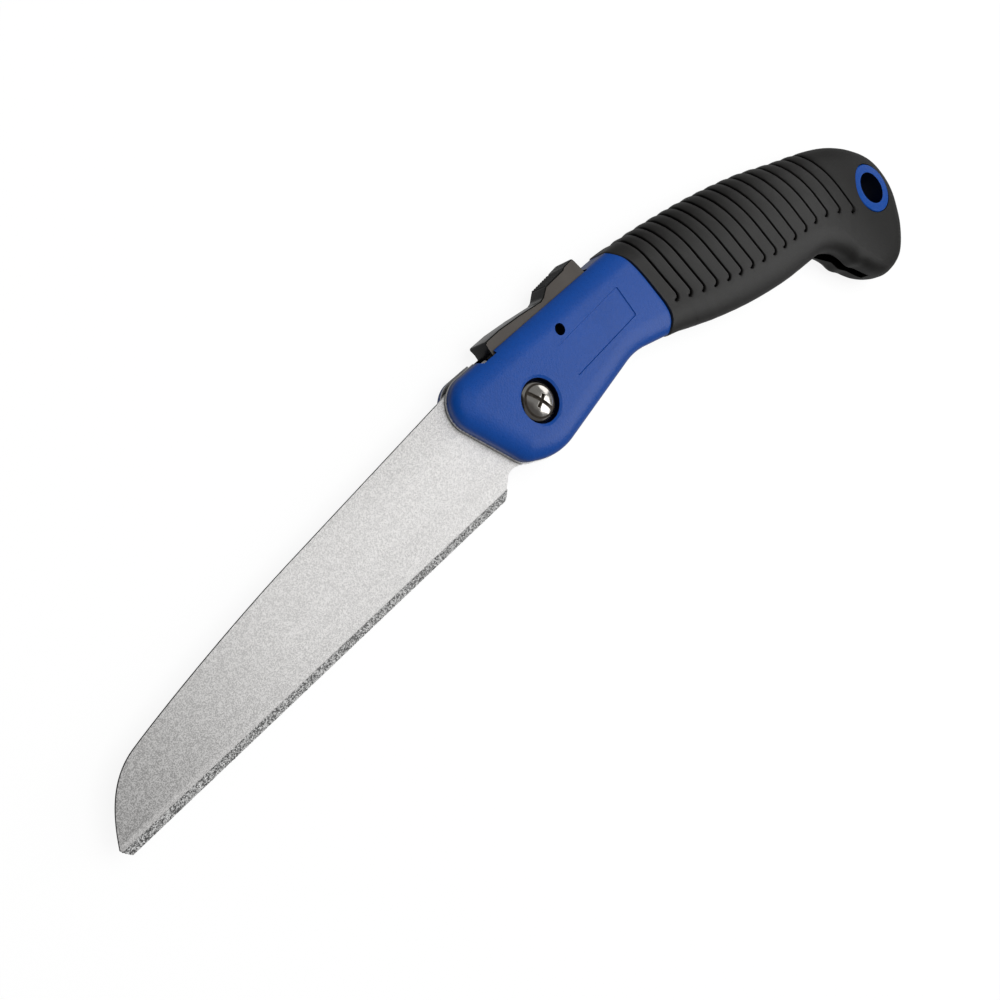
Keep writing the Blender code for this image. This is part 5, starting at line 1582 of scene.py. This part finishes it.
class SAW_OT_pivot(bpy.types.Operator):
    """Makes the domed pivot screw and the slotted sleeve nut"""
    bl_idname = "saw.pivot"
    bl_label = "Pivot screw and nut"

    def execute(self, context):
        settings = context.scene.saw_pivot
        face = context.scene.saw_handle.head_half
        seat_height = face - settings.counterbore_depth
        seat = seat_height + SEAT_GAP
        rim = seat + settings.head_rim
        radius = settings.head_radius
        shank = SHANK_RADIUS
        shank_end = -seat_height + FACET_GAP
        roll = 0.00045
        chamfer = 0.0004
        profile = dome_profile(radius - roll / 2, rim, settings.dome, 28)
        profile += arc((radius - roll, rim - 0.00039), roll, 60.0, 0.0, 6)[1:]
        profile += [(radius, seat), (shank, seat)]
        profile += [(shank, shank_end + chamfer), (shank - chamfer, shank_end), (0.0, shank_end)]
        screw = turned_piece("domed_screw", profile, 128)
        crown = rim + settings.dome
        floor = crown - settings.slot_depth
        slot = (2.4 * radius, settings.slot_width)
        cross = (settings.cross_length, settings.slot_width * 0.95)
        combine(screw, [
            bar("slot", *slot, DRIVER_ANGLE, floor + BAR_HEIGHT / 2),
            bar("cross", *cross, DRIVER_ANGLE + 90.0, floor - CROSS_SINK + BAR_HEIGHT / 2),
        ])
        round_edges(screw, SCREW_ROUND, 2, 40.0)
        nickel = bright_nickel(tuple(settings.nickel_colour))
        recess = recess_nickel()
        # Painted shade: faces deep in the slot and the cross take the dark floor colour.
        for face in screw.data.polygons:
            deep = rim < face.center.z < crown - settings.slot_depth * 0.9
            face.material_index = 1 if deep and face.normal.z > 0.9 else 0
        finish_piece(screw, "handle", [nickel, recess], 30.0, "bright_nickel", "pivot_screw")
        bottom = -seat - NUT_HEIGHT
        bore = shank + FACET_GAP
        top = seat_height - SEAT_GAP
        sleeve = [
            (bore, top), (SLEEVE_RADIUS, top), (SLEEVE_RADIUS, -seat), (radius, -seat),
            (radius, bottom + 0.0005), (radius - 0.00015, bottom + 0.00015), (radius - 0.0005, bottom),
            (bore, bottom),
        ]
        nut = turned_piece("sleeve_nut", sleeve, 96, closed=True)
        combine(nut, [bar("slot", *slot, 0.0, bottom + settings.slot_depth - BAR_HEIGHT / 2)])
        round_edges(nut, NUT_ROUND, 2, 40.0)
        finish_piece(nut, "handle", [nickel], 30.0, "bright_nickel", "pivot_sleeve_nut")
        return {"FINISHED"}


# Lock

def lever_outline():
    """Side view of the lever, from the nose over the pad and back below."""
    pin = LEVER_PIN_AT
    under = LEVER_NOSE_UNDER_Y
    nose_top = (LEVER_NOSE_X, LEVER_NOSE_Y)
    toward = (LEVER_CREST[0], LEVER_CREST[1] + 0.0001)
    points = fillet((LEVER_NOSE_X, under), nose_top, toward, LEVER_NOSE_ROUND, 8)
    points += [LEVER_CREST, LEVER_BACK, LEVER_WAIST, LEVER_RAMP_FOOT]
    points += [LEVER_PAD_FRONT, LEVER_PAD_STEP, LEVER_PAD_BUMP]
    points += fillet(LEVER_PAD_BUMP, LEVER_PAD_REAR, LEVER_REAR, LEVER_REAR_ROUND, 9)
    points += [LEVER_REAR, (LEVER_REAR[0], LEVER_REAR_UNDER_Y)]
    points += [LEVER_UNDER_REAR, LEVER_UNDER_FRONT]
    points += arc(pin, LEVER_BOSS_RADIUS, *LEVER_BOSS_ANGLES, 48)
    points += [(pin[0] - 0.0010, under), (LEVER_NOSE_X, under)]
    return points


def half_width_at(x):
    """Half width of the lever's top at X."""
    places, widths = zip(*LEVER_WIDTHS)
    return float(np.interp(x, places, widths))


def flare_sides(lever):
    """Cuts the upper sides into panels, sets the top's half width and marks the edges to round."""
    shape = bmesh.new()
    shape.from_mesh(lever.data)
    bmesh.ops.dissolve_limit(shape, angle_limit=math.radians(0.5), verts=shape.verts, edges=shape.edges)
    bmesh.ops.bisect_plane(
        shape, geom=shape.verts[:] + shape.edges[:] + shape.faces[:], dist=1e-7,
        plane_co=(0.0, LEVER_FLARE_Y, 0.0), plane_no=(0.0, 1.0, 0.0),
    )
    for x, _ in LEVER_WIDTHS[1:-1]:
        upper = [face for face in shape.faces if face.calc_center_median().y > LEVER_FLARE_Y]
        edges = list({edge for face in upper for edge in face.edges})
        verts = list({vertex for face in upper for vertex in face.verts})
        bmesh.ops.bisect_plane(
            shape, geom=verts + edges + upper, dist=1e-7, plane_co=(x, 0.0, 0.0), plane_no=(1.0, 0.0, 0.0)
        )
    for vertex in shape.verts:
        if vertex.co.y > LEVER_TOP_Y:
            vertex.co.z = math.copysign(half_width_at(vertex.co.x), vertex.co.z)
    weight = shape.edges.layers.float.new("bevel_weight_edge")
    for edge in shape.edges:
        one, two = (vertex.co for vertex in edge.verts)
        on_top = min(one.y, two.y) > LEVER_TOP_Y and edge.calc_face_angle(0.0) > math.radians(12.0)
        on_nose = max(one.x, two.x) < LEVER_NOSE_X + 1e-5 and one.z * two.z > 0
        if on_top or on_nose:
            edge[weight] = 1.0
    shape.to_mesh(lever.data)
    shape.free()


def lever_hollows(lock):
    """Cutters for the pawl's room, the spring's pocket and the pin's bore in the lever."""
    room_half = PAWL_HALF + FACET_GAP
    front = LEVER_NOSE_X + LEVER_NOSE_WALL - SEAT_GAP
    past = 0.001
    low = LEVER_PIN_AT[1] - LEVER_BOSS_RADIUS - past
    rear = LEVER_PIN_AT[0] + PAWL_RING_RADIUS + SEAT_GAP
    top = PAWL_TOP_Y + SEAT_GAP
    room = plate("room", [
        (front, top), (front, low), (rear, low), (rear, LEVER_PIN_AT[1] + PAWL_SHOULDER_RISE),
        (LEVER_PIN_AT[0], top),
    ], -room_half, room_half)
    radius = spring_room(lock)
    left, right = SPRING_X - radius - SPRING_SWING, SPRING_X + radius
    corners = ((left, -radius), (right, -radius), (right, radius), (left, radius))
    outline = rounded([(*corner, radius * 0.95) for corner in corners], 12)
    pocket = plate("pocket", outline, LEVER_PIN_AT[1], SPRING_POCKET_TOP_Y)
    pocket.data.transform(Matrix.Rotation(-math.pi / 2, 4, "X"))
    return [room, pocket, through_hole("bore", LEVER_PIN_AT, LEVER_PIN_RADIUS + FACET_GAP, 48)]


def pad_ridges(lock, material):
    """Row of round ridges across the thumb pad, sunk a little into it."""
    first = (LEVER_PAD_FRONT[0] + RIDGE_FRONT_GAP, LEVER_PAD_FRONT[1] - RIDGE_SINK, 0.0)
    last = (LEVER_PAD_STEP[0] - RIDGE_REAR_GAP, LEVER_PAD_STEP[1] - RIDGE_SINK, 0.0)
    tree = Growth("Pad ridges", [
        ("Ridges", "Int", lock.ridges),
        ("Ridge radius", "Float", lock.ridge_radius),
        ("Ridge length", "Float", 2 * (half_width_at(LEVER_PAD_FRONT[0]) - RIDGE_SIDE_GAP)),
        ("First ridge", "Vector", first),
        ("Last ridge", "Vector", last),
        ("Material", "Material", material),
    ])
    given = tree.given
    row = tree.add("GeometryNodeMeshLine", {
        "Count": given["Ridges"], "Start Location": given["First ridge"], "Offset": given["Last ridge"],
    }, mode="END_POINTS")
    ridge = tree.add("GeometryNodeMeshCylinder", {
        "Vertices": 16, "Radius": given["Ridge radius"], "Depth": given["Ridge length"],
    })
    placed = tree.add("GeometryNodeInstanceOnPoints", {
        "Points": row["Mesh"], "Instance": ridge["Mesh"],
    })
    real = tree.add("GeometryNodeRealizeInstances", {"Geometry": placed[0]})
    return tree.grow(new_piece("pad_ridges", bpy.data.meshes.new("pad_ridges")), real[0])


def lever_slot(face):
    """Material slot of a face of the lever: 0 plain, 1 rounded edges and nose in painted shade, 2 sides in
    painted sheen, 3 pad.
    """
    # Painted shade on the nose's front and on the rounded edges.
    at_nose = face.normal.x < -0.5 and face.center.x < LEVER_NOSE_X + 0.001
    if at_nose or face.material_index == 1:
        return 1
    if abs(face.normal.z) > 0.7:
        return 2
    return 3 if face.center.x > LEVER_RAMP_FOOT[0] and face.normal.y > -0.1 else 0


class SAW_OT_thumb_lever(bpy.types.Operator):
    """Makes the lock lever with the ridges across its thumb pad"""
    bl_idname = "saw.thumb_lever"
    bl_label = "Thumb lever"

    def execute(self, context):
        settings = context.scene.saw_lock
        plastic = black_plastic(tuple(settings.lever_colour))
        lever = plate("thumb_lever", lever_outline(), -LEVER_HALF, LEVER_HALF)
        flare_sides(lever)
        shell = (plastic, rim_plastic(), side_plastic(), pad_plastic())
        for material in shell:
            lever.data.materials.append(material)
        round_edges(lever, settings.rim_round, 4, 60.0, "WEIGHT", 1, clamp=False)
        for face in lever.data.polygons:
            face.material_index = lever_slot(face)
        combine(lever, lever_hollows(settings))
        ribs = pad_ridges(settings, shell[3])
        ribs.data.materials.clear()
        for material in shell:
            ribs.data.materials.append(material)
        for face in ribs.data.polygons:
            face.material_index = 3
        weld([lever, ribs])
        finish_piece(lever, "lever_body", shell, 30.0, "black_plastic", "lock_lever")
        return {"FINISHED"}


class SAW_OT_lever_spring(bpy.types.Operator):
    """Winds the spring under the thumb pad"""
    bl_idname = "saw.lever_spring"
    bl_label = "Lever spring"

    def execute(self, context):
        settings = context.scene.saw_lock
        low = BAY_FLOOR_Y - SPRING_SEAT_DEPTH + settings.wire_radius + SEAT_GAP
        high = SPRING_POCKET_TOP_Y - settings.wire_radius - SEAT_GAP
        wire_steel = brushed_steel("spring_wire", (0.55, 0.55, 0.56), 0.3)
        tree = Growth("Wound wire", [
            ("Turns", "Float", float(settings.coil_turns)),
            ("Coil radius", "Float", settings.coil_radius),
            ("Wire radius", "Float", settings.wire_radius),
            ("Height", "Float", high - low),
            ("Material", "Material", wire_steel),
        ])
        given = tree.given
        coil = tree.add("GeometryNodeCurveSpiral", {
            "Resolution": 32, "Rotations": given["Turns"], "Start Radius": given["Coil radius"],
            "End Radius": given["Coil radius"], "Height": given["Height"],
        })
        section = tree.add("GeometryNodeCurvePrimitiveCircle", {
            "Resolution": 12, "Radius": given["Wire radius"],
        })
        wire = tree.add("GeometryNodeCurveToMesh", {
            "Curve": coil[0], "Profile Curve": section[0], "Fill Caps": True,
        })
        spring = new_piece("lever_coil", bpy.data.meshes.new("lever_coil"))
        spring = tree.grow(spring, wire[0])
        spring.data.transform(Matrix.Rotation(-math.pi / 2, 4, "X"))
        spring.data.transform(Matrix.Translation((SPRING_X, low, 0.0)))
        recalculate(spring)
        finish_piece(spring, "handle", [wire_steel], 40.0, "liner_steel", "lever_spring")
        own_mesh(spring)
        return {"FINISHED"}


class SAW_OT_inner_parts(bpy.types.Operator):
    """Gives the washers, pin and pawl of the frame their finishes"""
    bl_idname = "saw.inner_parts"
    bl_label = "Inner parts"

    def execute(self, context):
        pawl = brushed_steel("pawl_steel", (0.10, 0.10, 0.10), 0.45)
        # Painted shade: the pin is coloured near black, as its end lies in the shade of its hole.
        pin = brushed_steel("pin_steel", (0.03, 0.03, 0.03), 0.5)
        bronze = washer_bronze()
        for name, material in (
            ("washer_near", bronze), ("washer_far", bronze), ("lever_pin", pin), ("lock_pawl", pawl),
        ):
            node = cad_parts[name]
            if not node.material_slots:
                node.data.materials.append(material)
            for slot in node.material_slots:
                slot.material = material
        return {"FINISHED"}


# Stage

def backdrop_material(colour):
    """Pale floor: white to the camera, dimmer in gloss, dark to diffuse rays, with the saw's shadow."""
    finish = Finish("pale_floor")
    ray = finish.add("ShaderNodeLightPath")
    tone = finish.mix(ray["Is Diffuse Ray"], colour, shaded(colour, 0.25))
    finish.coat(tone, 0.9, specular=0.0)
    straight = finish.maths("MAXIMUM", ray["Is Camera Ray"], ray["Is Transmission Ray"])
    seen = finish.maths("MAXIMUM", straight, ray["Is Glossy Ray"])
    strength = finish.maths("ADD", finish.maths("MULTIPLY", straight, 0.71), 0.35)
    glow = finish.add("ShaderNodeEmission", {"Strength": strength})[0]
    share = finish.maths("MULTIPLY", seen, 0.85)
    surface = finish.add("ShaderNodeMixShader", {0: share, 1: finish.shader.outputs[0], 2: glow})
    finish.fill(finish.tree.nodes["Material Output"], {"Surface": surface[0]})
    return finish.material


def area_light(name, direction, distance, size, radiance, in_gloss=True, in_diffuse=True):
    """Square panel that faces the saw."""
    data = bpy.data.lights.new(name, "AREA")
    data.shape = "SQUARE"
    data.size = size
    data.energy = radiance * math.pi * size * size
    lamp = new_piece(name, data)
    way = Vector(direction).normalized()
    lamp.location = PIVOT + LIT_FROM_PIVOT + way * distance
    lamp.rotation_euler = way.to_track_quat("Z", "Y").to_euler()
    lamp.visible_glossy = in_gloss
    lamp.visible_diffuse = in_diffuse


def world_light(strength, gloss):
    """Even light from all around, with its own level in gloss, and white to the camera."""
    world = bpy.data.worlds.new("studio")
    world.use_nodes = True
    sky = Nodes(world.node_tree)
    ray = sky.add("ShaderNodeLightPath")
    level = strength
    for kind, seen in (("Is Glossy Ray", gloss), ("Is Camera Ray", 1.0)):
        level = sky.add("ShaderNodeMix", {0: ray[kind], 2: level, 3: seen}, data_type="FLOAT")[0]
    sky.fill(sky.tree.nodes["Background"], {"Strength": level, "Color": (1.0, 1.0, 1.0, 1.0)})
    bpy.context.scene.world = world


def dark_flag():
    """Black card beside the camera that only gloss sees, so that rims stay dark."""
    shape = bmesh.new()
    bmesh.ops.create_grid(shape, x_segments=1, y_segments=1, size=FLAG_HALF)
    card = piece_from_bmesh("dark_flag", shape)
    way = Vector(FLAG_WAY).normalized()
    turn = way.to_track_quat("Z", "Y").to_matrix().to_4x4()
    card.data.transform(Matrix.Translation(PIVOT + way * FLAG_DISTANCE) @ turn)
    finish = Finish("flag_black")
    finish.coat((0.01, 0.01, 0.01), 0.9)
    card.data.materials.append(finish.material)
    card.visible_camera = False
    card.visible_diffuse = False
    card.visible_shadow = False


def photo_camera():
    """Camera at the photograph's angle."""
    data = bpy.data.cameras.new("camera")
    data.lens = CAMERA_LENS
    data.sensor_width = SENSOR
    data.sensor_fit = "HORIZONTAL"
    data.clip_start = 0.01
    camera = new_piece("camera", data)
    forward = CAMERA_FORWARD.normalized()
    right = forward.cross(CAMERA_UP).normalized()
    turn = Matrix((right, right.cross(forward), -forward)).transposed()
    camera.matrix_world = Matrix.Translation(PIVOT + CAMERA_FROM_PIVOT) @ turn.to_4x4()
    return camera


class SAW_OT_stage(bpy.types.Operator):
    """Sets the floor, the lights and the camera at the photograph's angle"""
    bl_idname = "saw.stage"
    bl_label = "Stage"

    def execute(self, context):
        settings = context.scene.saw_stage
        shape = bmesh.new()
        bmesh.ops.create_grid(shape, x_segments=1, y_segments=1, size=FLOOR_HALF)
        floor = piece_from_bmesh("floor", shape)
        floor.data.transform(Matrix.Translation((0.0, 0.0, CAD_LOW.z - FLOOR_GAP)))
        floor.data.materials.append(backdrop_material(tuple(settings.floor_colour)))
        area_light(
            "softbox", SOFTBOX_WAY, settings.softbox_distance, settings.softbox_size,
            settings.softbox_radiance,
        )
        area_light(
            "overhead", OVERHEAD_WAY, settings.overhead_distance, settings.overhead_size,
            settings.overhead_radiance, in_gloss=False,
        )
        area_light("kicker", KICKER_WAY, KICKER_DISTANCE, KICKER_SIZE, KICKER_RADIANCE, in_diffuse=False)
        dark_flag()
        world_light(settings.world_strength, settings.world_gloss)
        context.scene.camera = photo_camera()
        context.scene.view_settings.view_transform = "Standard"
        return {"FINISHED"}


# Panel and registration

PIECE_OPERATORS = (
    SAW_OT_blue_core, SAW_OT_ribbed_grip, SAW_OT_blade, SAW_OT_abrasive_edge, SAW_OT_liners, SAW_OT_pivot,
    SAW_OT_thumb_lever, SAW_OT_lever_spring, SAW_OT_inner_parts, SAW_OT_stage,
)
SETTINGS = {
    "saw_handle": SawHandleSettings,
    "saw_blade": SawBladeSettings,
    "saw_pivot": SawPivotSettings,
    "saw_lock": SawLockSettings,
    "saw_stage": SawStageSettings,
}


class SAW_PT_pieces(bpy.types.Panel):
    """Lists the saw's pieces and their settings"""
    bl_label = "Folding Saw"
    bl_idname = "SAW_PT_pieces"
    bl_space_type = "VIEW_3D"
    bl_region_type = "UI"
    bl_category = "Saw"

    def draw(self, context):
        for operator in PIECE_OPERATORS:
            self.layout.operator(operator.bl_idname)
        for name, group in SETTINGS.items():
            box = self.layout.box()
            for key in group.__annotations__:
                box.prop(getattr(context.scene, name), key)


CLASSES = (*SETTINGS.values(), *PIECE_OPERATORS, SAW_PT_pieces)


def register():
    """Registers the classes and gives the scene their settings."""
    for cls in CLASSES:
        bpy.utils.register_class(cls)
    for name, group in SETTINGS.items():
        setattr(bpy.types.Scene, name, PointerProperty(type=group))


def unregister():
    """Takes back what register gave."""
    for name in SETTINGS:
        delattr(bpy.types.Scene, name)
    for cls in reversed(CLASSES):
        bpy.utils.unregister_class(cls)


def main():
    """Makes the whole saw and its stage."""
    register()
    bpy.ops.saw.stage()
    bpy.ops.saw.blue_core()
    bpy.ops.saw.ribbed_grip()
    bpy.ops.saw.blade()
    bpy.ops.saw.abrasive_edge()
    bpy.ops.saw.liners()
    bpy.ops.saw.pivot()
    bpy.ops.saw.thumb_lever()
    bpy.ops.saw.lever_spring()
    bpy.ops.saw.inner_parts()


if __name__ == "__main__":
    main()
